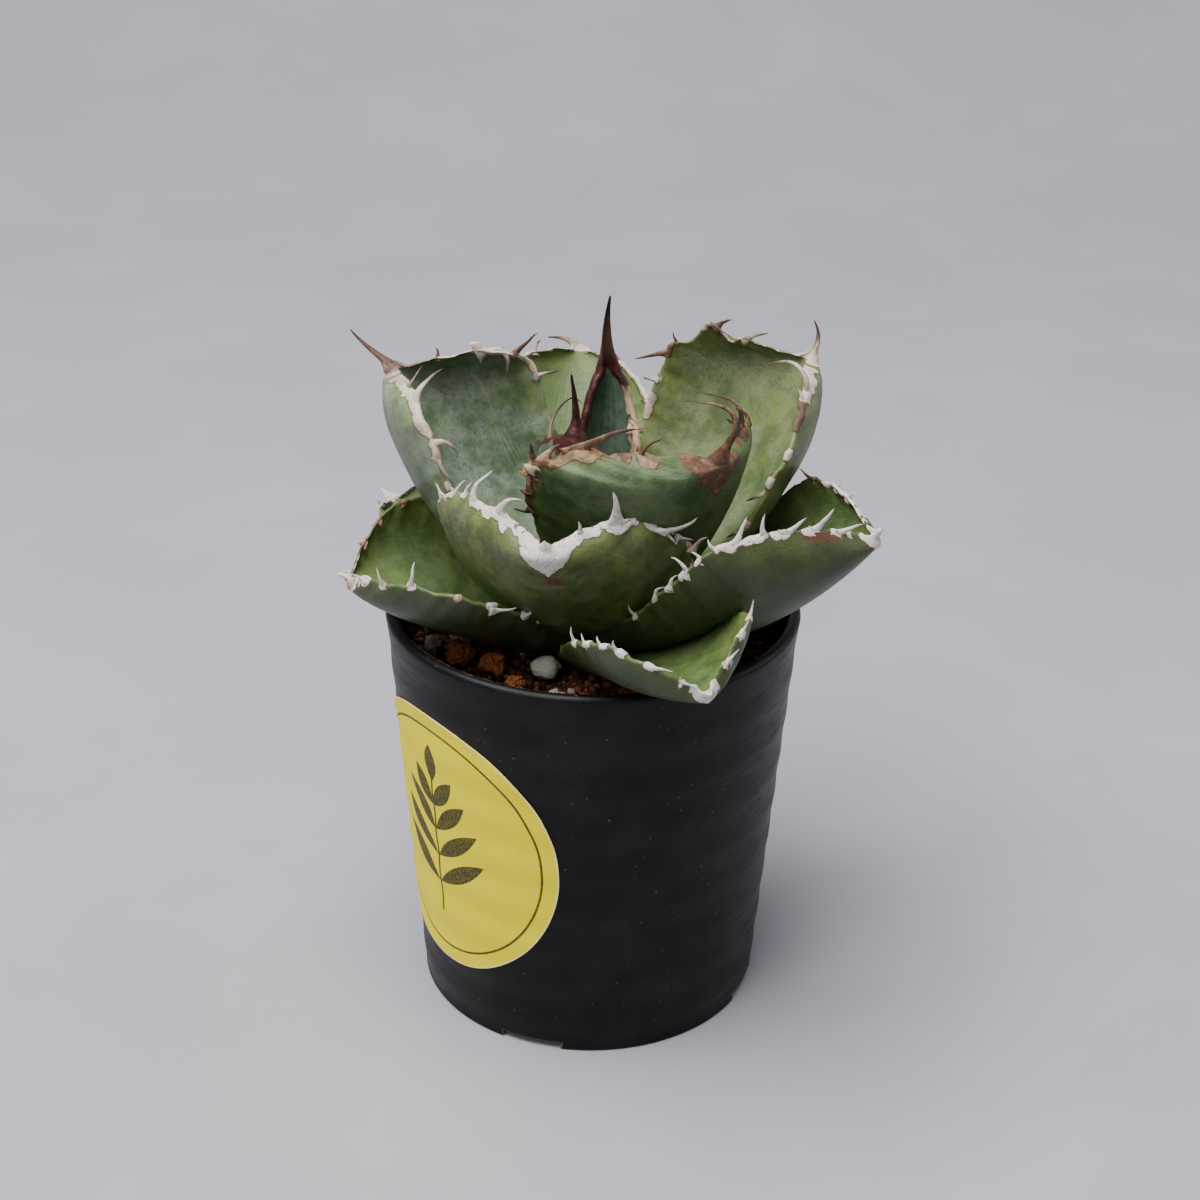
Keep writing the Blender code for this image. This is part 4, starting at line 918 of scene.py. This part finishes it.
def sprig_group():
    """One pointed leaf print: inside it the mask is 1."""
    inputs = dict.fromkeys(("X", "Y", "Turn", "Length", "Width"), "value")
    w, given, out = start_group("sprig_leaf", inputs, {"Mask": "value"})
    cos, sin = w.maths("COSINE", given["Turn"]), w.maths("SINE", given["Turn"])
    run = w.plus(w.times(given["X"], cos), w.times(given["Y"], sin))
    off = w.maths("SUBTRACT", w.times(given["Y"], cos), w.times(given["X"], sin))
    t = w.maths("DIVIDE", run, given["Length"])
    swell = w.times(w.times(t, w.maths("SUBTRACT", 1.0, t)), given["Width"])
    room = w.maths("SUBTRACT", w.times(swell, 2.0), w.maths("ABSOLUTE", off))
    w.give(out, Mask=w.band(room, -0.05, 0.1))
    return w.tree


def label_finish():
    """Yellow paper with a thin ring and a plain sprig, and no lettering."""
    material, w = new_finish("yellow_paper_label")
    x, y, place = w.kept("print_x"), w.kept("print_y"), w.place_mm()
    radius = w.maths("SQRT", w.plus(w.times(x, x), w.times(y, y)))
    ring = w.band(w.maths("ABSOLUTE", w.maths("SUBTRACT", radius, LABEL_RING)), 0.25, 0.4, 1.0, 0.0)
    stem = w.times(w.band(w.maths("ABSOLUTE", x), 0.3, 0.45, 1.0, 0.0),
                   w.band(w.maths("ABSOLUTE", w.plus(y, 1.0)), LABEL_STEM, LABEL_STEM + 0.3, 1.0, 0.0))
    print_mask = w.maths("MAXIMUM", ring, stem)
    sprig = sprig_group()
    for height, turn, length in SPRIG:
        above = w.maths("SUBTRACT", y, float(height))
        leaf = w.group(sprig, {"X": x, "Y": above, "Turn": math.radians(turn), "Length": float(length),
                               "Width": SPRIG_LEAF_WIDTH})["Mask"]
        print_mask = w.maths("MAXIMUM", print_mask, leaf)
    fibres = w.noise(place, 1.3, 5.0, 0.7)
    paper = w.blend(w.band(fibres, 0.35, 0.7), shade(232, 214, 0), shade(240, 222, 0))
    paper = w.blend(w.band(w.noise(place, 0.05, 3.0), 0.4, 0.7, 0.0, 0.3), paper, shade(222, 204, 0))
    worn = w.band(fibres, 0.3, 0.6, 0.82, 0.97)
    colour = w.blend(w.times(print_mask, worn), paper, shade(44, 42, 34))
    cut_edge = w.band(radius, LABEL_RADIUS - 0.7, LABEL_RADIUS - 0.1, 0.0, 0.5)
    colour = w.blend(cut_edge, colour, shade(240, 236, 200))
    dust = w.group(SETTLED_DUST, {"Specks": 0.15, "Film": 0.0})["Mask"]
    colour = w.blend(dust, colour, shade(170, 160, 130))
    rough = w.band(fibres, 0.2, 0.8, 0.5, 0.64)
    close_finish(w, colour, rough, fibres, 0.03, **{"Specular IOR Level": 0.15})
    return material


def gritty_finish(name, tones, pores, bump):
    """Soil and grains: three tones by the piece's own tone value, painted shade in the pits of the pores, and
    dust.
    """
    material, w = new_finish(name)
    place = w.place_mm()
    tone, patches = w.kept("tone"), w.noise(place, 0.5, 5.0, 0.65)
    mixed = w.plus(tone, w.times(w.plus(patches, -0.5), 0.5))
    colour = w.blend(w.band(mixed, 0.1, 0.5), tones[0], tones[1])
    colour = w.blend(w.band(mixed, 0.62, 0.86), colour, tones[2])
    cells = w.node("ShaderNodeTexVoronoi", {"Vector": place, "Scale": 1.5 * pores}).outputs["Distance"]
    # Painted shade: the pits of the pores are darkened towards the darkest tone.
    colour = w.blend(w.band(cells, 0.02, 0.25, 0.5, 0.0), colour, tones[0])
    dust = w.group(SETTLED_DUST, {"Specks": 0.3, "Film": 0.12})["Mask"]
    colour = w.blend(dust, colour, shade(150, 124, 100))
    height = w.plus(patches, w.times(cells, 0.6))
    rough = w.band(patches, 0.3, 0.7, 0.8, 0.97)
    close_finish(w, colour, rough, height, bump, **{"Specular IOR Level": 0.25})
    return material


def stem_finish():
    material, w = new_finish("dry_stem_fibre")
    place = w.place_mm()
    fibres = w.noise(w.stretched(place, 3.0, 3.0, 0.35), 0.8, 5.0, 0.65)
    colour = w.blend(w.band(fibres, 0.35, 0.65), shade(92, 66, 40), shade(156, 128, 84))
    close_finish(w, colour, w.band(fibres, 0.3, 0.7, 0.7, 0.9), fibres, 0.3)
    return material


# ---- pieces -----------------------------------------------------------------------------------
def make_leaves():
    blades = [Blade(index, leaf) for index, leaf in enumerate(LEAVES)]
    for blade in blades:
        shape_blade(blade)
    press_leaves(blades)
    for blade in blades:
        leaf = blade.leaf
        shell = Shell(*LEAF_VALUES)
        leaf_body(shell, blade)
        for side, *size in leaf["teeth"]:
            tooth(shell, blade, side, *size)
        piece = shell.make(leaf["name"] + "_blade", leaf_finish(leaf))
        settle_in(piece, leaf["name"])


def make_bud():
    """The rolled heart: a spindle with the edge of its outer leaf winding up it."""
    leaf = dict(LEAVES[1], name="bud", skin="heart", horn="wine")
    rows, around = 60, 48
    t = np.linspace(0.0, 1.0, rows)
    belly = np.sin(np.pi * np.minimum(1.0, 0.12 + 0.6 * (1 - t))) ** 0.8
    radius = np.maximum(BUD_RADIUS * belly * np.minimum(1.0, 1.6 * (1 - t)), 0.15)
    turns = np.linspace(0, 2 * math.pi, around, endpoint=False)
    lap = (turns[None, :] - 2.2 * t[:, None]) % (2 * math.pi)
    out = radius[:, None] * (1 - 0.12 * lap / (2 * math.pi))
    height = np.broadcast_to((BUD_FOOT + BUD_HEIGHT * t)[:, None], out.shape)
    rings = np.stack([out * np.cos(turns), out * np.sin(turns), height], -1)
    ends = np.array([[0, 0, BUD_FOOT], [0, 0, BUD_FOOT + BUD_HEIGHT + 0.3]])
    horn = np.where(lap < 0.35, 0.5, -2.0) + 6 * ease(0.86, 1.0, t)[:, None]
    shell = Shell(*LEAF_VALUES)
    shell.add(np.vstack([rings.reshape(-1, 3), ends]), ring_faces(rows, around),
              horn=np.concatenate([horn.ravel(), [-2.0, 4.0]]),
              across=np.concatenate([(lap / math.pi - 1).ravel(), [0, 0]]),
              along=np.concatenate([np.repeat(t, around), [0, 1]]), edge=8.0, under=1.0,
              reach=np.concatenate([np.repeat(ease(0.8, 1.0, t), around), [0, 1]]))
    settle_in(shell.make("bud_rolled", leaf_finish(leaf)), "bud")


def pot_profile():
    """Radius, height and whether it is the outside, all the way round the wall's section."""
    bead = RIM_WIDTH / 2
    profile = []
    for step in range(19):
        a = math.pi * (1 - step / 18)
        r, z = POT_TOP_RADIUS - bead + bead * math.cos(a), POT_HEIGHT - bead + bead * math.sin(a)
        profile.append((r, z, step > 7))
    for height in np.arange(POT_HEIGHT - RIM_WIDTH, 1.0, -1.0):
        profile.append((float(moulded_radius(height)), height, True))
    for step in range(5):
        a = math.pi / 2 * step / 4
        profile.append((POT_FOOT_RADIUS - 0.6 + 0.6 * math.cos(a), 0.6 - 0.6 * math.sin(a), True))
    floor_top = FOOT_HEIGHT + POT_FLOOR
    profile += [(inner_radius(0.0), 0.0, True), (inner_radius(FOOT_HEIGHT) - 0.5, FOOT_HEIGHT, True),
                (CENTRE_HOLE_RADIUS, FOOT_HEIGHT, True), (CENTRE_HOLE_RADIUS, floor_top, False)]
    for height in np.linspace(floor_top, POT_HEIGHT - 2 * RIM_WIDTH, 24):
        profile.append((inner_radius(height), height, False))
    return profile


def make_pot():
    profile = pot_profile()
    turns = np.linspace(0, 2 * math.pi, POT_SEGMENTS, endpoint=False)
    r, z, outside = (np.array(part, float) for part in zip(*profile))
    rings = np.stack([r[:, None] * np.cos(turns), r[:, None] * np.sin(turns),
                      np.broadcast_to(z[:, None], (len(r), POT_SEGMENTS))], -1)
    faces = ring_faces(len(r), POT_SEGMENTS, False)
    last = (len(r) - 1) * POT_SEGMENTS
    for k in range(POT_SEGMENTS):
        n = (k + 1) % POT_SEGMENTS
        faces.append((last + k, last + n, n, k))
    shell = Shell("outside")
    shell.add(rings.reshape(-1, 3), faces, outside=np.repeat(outside, POT_SEGMENTS))
    pot = shell.make("pot_shell", pot_finish())
    cutters = bmesh.new()
    for k in range(NOTCH_COUNT):
        turn = math.radians(NOTCH_TURN + 360 * k / NOTCH_COUNT)
        reach = (POT_FOOT_RADIUS - POT_WALL / 2) * MM
        place = (Matrix.Translation(AXIS + Vector((reach * math.cos(turn), reach * math.sin(turn), 0)))
                 @ Matrix.Rotation(turn, 4, "Z")
                 @ Matrix.Diagonal((4 * POT_WALL * MM, NOTCH_WIDTH * MM, 2 * NOTCH_HEIGHT * MM, 1)))
        bmesh.ops.create_cube(cutters, size=1, matrix=place)
    for k in range(DRAIN_COUNT):
        turn = math.radians(DRAIN_TURN + 360 * k / DRAIN_COUNT)
        middle = Vector((DRAIN_CIRCLE * math.cos(turn), DRAIN_CIRCLE * math.sin(turn), FOOT_HEIGHT))
        place = Matrix.Translation(AXIS + middle * MM)
        bmesh.ops.create_cone(cutters, cap_ends=True, segments=32, radius1=DRAIN_RADIUS * MM,
                              radius2=DRAIN_RADIUS * MM, depth=4 * POT_FLOOR * MM, matrix=place)
    tool_mesh = bpy.data.meshes.new("pot_foot_cutters")
    cutters.to_mesh(tool_mesh)
    cutters.free()
    tool = linked("pot_foot_cutters", tool_mesh)
    cut = pot.modifiers.new("foot", "BOOLEAN")
    cut.operation, cut.solver, cut.object = "DIFFERENCE", "EXACT", tool
    bpy.context.view_layer.update()
    finished = bpy.data.meshes.new_from_object(pot.evaluated_get(bpy.context.evaluated_depsgraph_get()))
    pot.modifiers.clear()
    pot.data = finished
    bpy.data.objects.remove(tool)
    pot.data.set_sharp_from_angle(angle=math.radians(40))
    settle_in(pot, "pot")


def make_label():
    rings, around = 30, 120
    radii = np.concatenate([np.linspace(0.02, 0.97, rings - 3), [0.985, 0.995, 1.0]]) * LABEL_RADIUS
    turns = np.linspace(0, 2 * math.pi, around, endpoint=False)
    x, y = radii[:, None] * np.cos(turns), radii[:, None] * np.sin(turns)
    height = LABEL_HEIGHT + y
    turn = math.radians(LABEL_TURN) + x / wall_radius(LABEL_HEIGHT)
    curl = 0.3 * ease(0.9, 1.0, radii / LABEL_RADIUS)[:, None] * (0.5 + 0.5 * waves(turns, 3, 2.1)[None, :])
    layers = []
    for lift in (LABEL_LIFT, LABEL_LIFT + LABEL_THICKNESS):
        out = moulded_radius(height) + lift + np.maximum(curl, 0)
        layers.append(np.stack([out * np.cos(turn), out * np.sin(turn), height], -1))
    points = np.concatenate([layers[1], layers[0][::-1]])
    ends = np.array([points[0].mean(0), points[-1].mean(0)])
    shell = Shell("print_x", "print_y")
    shell.add(np.vstack([points.reshape(-1, 3), ends]), ring_faces(2 * rings, around),
              print_x=np.concatenate([x.ravel(), x[::-1].ravel(), [0, 0]]),
              print_y=np.concatenate([y.ravel(), y[::-1].ravel(), [0, 0]]))
    label = shell.make("label_paper", label_finish())
    label.data.set_sharp_from_angle(angle=math.radians(50))
    settle_in(label, "label")


def lumps(x, y, seed):
    chance = random.Random(seed)
    total = np.zeros_like(x)
    for _ in range(14):
        turn, size = chance.uniform(0, 6.28), chance.uniform(3.0, 14.0)
        total += size ** 0.6 * np.sin((x * math.cos(turn) + y * math.sin(turn)) * 2 * math.pi / size
                                      + chance.uniform(0, 6.28))
    return total / 14


def make_soil():
    rows, around = 46, 150
    edge = inner_radius(SOIL_HEIGHT) - SOIL_CLEARANCE
    turns = np.linspace(0, 2 * math.pi, around, endpoint=False)
    r = np.linspace(0.5, edge, rows)[:, None] * np.ones((1, around))
    x, y = r * np.cos(turns), r * np.sin(turns)
    z = SOIL_HEIGHT - SOIL_SINK + SOIL_RELIEF * lumps(x, y, 5) + 0.5 * ease(40, 49, r)
    side_heights = [SOIL_HEIGHT - 6, SOIL_HEIGHT - 30, FOOT_HEIGHT + POT_FLOOR + 0.4]
    layers = [np.stack([x, y, z], -1)]
    for height in side_heights:
        out = inner_radius(height) - SOIL_CLEARANCE
        ring = np.stack([out * np.cos(turns), out * np.sin(turns), np.full(around, height)], -1)
        layers.append(ring[None])
    points = np.concatenate(layers)
    ends = np.array([[0, 0, SOIL_HEIGHT - SOIL_SINK], [0, 0, side_heights[-1]]])
    shell = Shell("tone")
    shell.add(np.vstack([points.reshape(-1, 3), ends]), ring_faces(len(points), around), tone=0.22)
    template, faces = ball(2)
    chance = np.random.default_rng(11)
    for _ in range(CRUMB_COUNT):
        size = CRUMB_SMALL + CRUMB_SPREAD * chance.random() ** 3
        out, turn = edge * math.sqrt(chance.random()) * 0.985, chance.uniform(0, 2 * math.pi)
        out = max(6.0, min(out, edge - size))
        centre = np.array([out * math.cos(turn), out * math.sin(turn), SOIL_HEIGHT - 0.5 + 0.45 * size])
        stretch = np.array([1.0, chance.uniform(0.6, 1.0), chance.uniform(0.5, 0.9)])
        rough = 1 + chance.uniform(-0.2, 0.2, len(template))
        body = template * rough[:, None] * stretch * size
        c, s = math.cos(turn * 7), math.sin(turn * 7)
        body = np.stack([body[:, 0] * c - body[:, 1] * s, body[:, 0] * s + body[:, 1] * c, body[:, 2]], 1)
        pick, tone = chance.random(), 0.95
        if pick < 0.5:
            tone = 0.05 + 0.25 * chance.random()
        elif pick < 0.95:
            tone = 0.45 + 0.22 * chance.random()
        shell.add(body + centre, faces, tone=tone)
    soil = shell.make("potting_mix", gritty_finish("potting_mix", (shade(36, 23, 14), shade(118, 68, 34),
                                                                   shade(170, 150, 132)), 1.2, 0.4))
    settle_in(soil, "soil")


# Three colours, tone, how porous, bump, how far the flats are from the middle, depth of its knobs from
# coarse to fine.
GRAINS = {
    "akadama": ((shade(70, 36, 18), shade(138, 80, 42), shade(184, 122, 72)), 0.42, 1.0, 0.6,
                (0.7, 0.92), (0.34, 0.26, 0.14)),
    "pumice": ((shade(110, 90, 80), shade(180, 158, 146), shade(206, 192, 182)), 0.6, 1.8, 0.6,
               (0.7, 0.92), (0.4, 0.26, 0.16)),
    "perlite": ((shade(112, 110, 96), shade(164, 161, 146), shade(190, 187, 176)), 0.6, 0.8, 0.12,
                (0.96, 0.995), (0.16, 0.06, 0.02)),
}


def make_grains():
    finishes = {kind: gritty_finish(kind + "_grain", tones, pores, bump)
                for kind, (tones, _, pores, bump, _, _) in GRAINS.items()}
    for name in sorted(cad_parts):
        kind = name.rsplit("_", 1)[0]
        if kind not in GRAINS:
            continue
        _, tone, _, _, facets, knobs = GRAINS[kind]
        low, high = (np.array(corner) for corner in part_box(name))
        template, faces = ball(5)
        seed = sum(map(ord, name))
        chance = np.random.default_rng(seed)
        for _ in range(GRAIN_FLATS):
            cut = unit(chance.normal(size=3))
            over = np.maximum(template @ cut - chance.uniform(*facets), 0)
            template = template - over[:, None] * cut * FLAT_DEPTH
        rough = [sum(depth * noise.noise(Vector(point) * fineness + Vector((seed, 0, 0)))
                     for depth, fineness in zip(knobs, (1.4, 3.6, 9.0))) for point in template]
        template = template * (1 + np.array(rough)[:, None])
        template = template / np.abs(template).max(0)
        centre = ((low + high) / 2 - SHIFT) / MM
        shell = Shell("tone")
        shell.add(template * (high - low) / 2 / MM * GRAIN_SWELL + centre, faces, tone=tone)
        settle_in(shell.make(name + "_rough", finishes[kind]), name)


def keep_stem():
    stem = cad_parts["stem_and_roots"]
    stem.data.materials.clear()
    stem.data.materials.append(stem_finish())


# ---- stage, light and camera ------------------------------------------------------------------
def stage_finish():
    material, w = new_finish("pale_studio_floor")
    place = w.place_mm()
    clouds = w.band(w.noise(place, 0.012, 3.0), 0.4, 0.7)
    colour = w.blend(clouds, shade(151, 150, 158), shade(156, 155, 163))
    close_finish(w, colour, 0.75)
    return material


def make_stage():
    """A pale floor that curves up into a wall."""
    start = SWEEP_BACK - SWEEP_CURVE
    line = [(SWEEP_FRONT, 0.0), (0.0, 0.0), (start, 0.0)]
    line += [(start + SWEEP_CURVE * math.sin(a), SWEEP_CURVE - SWEEP_CURVE * math.cos(a))
             for a in np.linspace(0.1, math.pi / 2, 16)]
    line.append((SWEEP_BACK, SWEEP_HEIGHT))
    points = [(x, y, z) for y, z in line for x in (-SWEEP_WIDTH / 2, SWEEP_WIDTH / 2)]
    faces = [(2 * k, 2 * k + 1, 2 * k + 3, 2 * k + 2) for k in range(len(line) - 1)]
    shell = Shell()
    shell.add(np.array(points), faces)
    shell.make("studio_sweep", stage_finish())


def add_light(name, place, aim, size, power):
    data = bpy.data.lights.new(name, "AREA")
    data.shape, data.size, data.energy = "SQUARE", size, power
    lamp = linked(name, data)
    lamp.location = place
    lamp.rotation_euler = (Vector(aim) - Vector(place)).to_track_quat("-Z", "Y").to_euler()


def light_studio():
    world = bpy.data.worlds.new("studio_air")
    world.use_nodes = True
    air = world.node_tree.nodes["Background"]
    air.inputs["Color"].default_value = (0.92, 0.94, 1.0, 1.0)
    air.inputs["Strength"].default_value = 0.34
    bpy.context.scene.world = world
    add_light("overhead_softbox", (-0.35, -0.2, 1.45), (0, 0, 0.1), 1.2, 56.0)
    add_light("front_fill", (-0.7, -1.4, 1.2), (0, 0, 0.1), 1.2, 8.0)
    add_light("right_edge", (1.2, 0.3, 0.7), (0, 0, 0.08), 0.8, 4.0)


def place_camera():
    tilt, lean = math.radians(CAMERA_TILT), math.radians(CAMERA_LEAN)
    forward = Vector((0, math.cos(tilt), -math.sin(tilt)))
    right = Vector((1, 0, 0))
    up = right.cross(forward)
    leant_right = math.cos(lean) * right + math.sin(lean) * up
    leant_up = -math.sin(lean) * right + math.cos(lean) * up
    pose = Matrix((leant_right, leant_up, -forward)).transposed().to_4x4()
    pose.translation = AXIS + CAMERA_PLACE
    camera = linked("camera", bpy.data.cameras.new("camera"))
    camera.matrix_world = pose
    camera.data.lens = CAMERA_LENS
    camera.data.clip_start = 0.01
    bpy.context.scene.camera = camera


place_camera()
light_studio()
make_stage()
make_pot()
make_label()
make_soil()
make_grains()
keep_stem()
make_bud()
make_leaves()

bpy.context.view_layer.update()
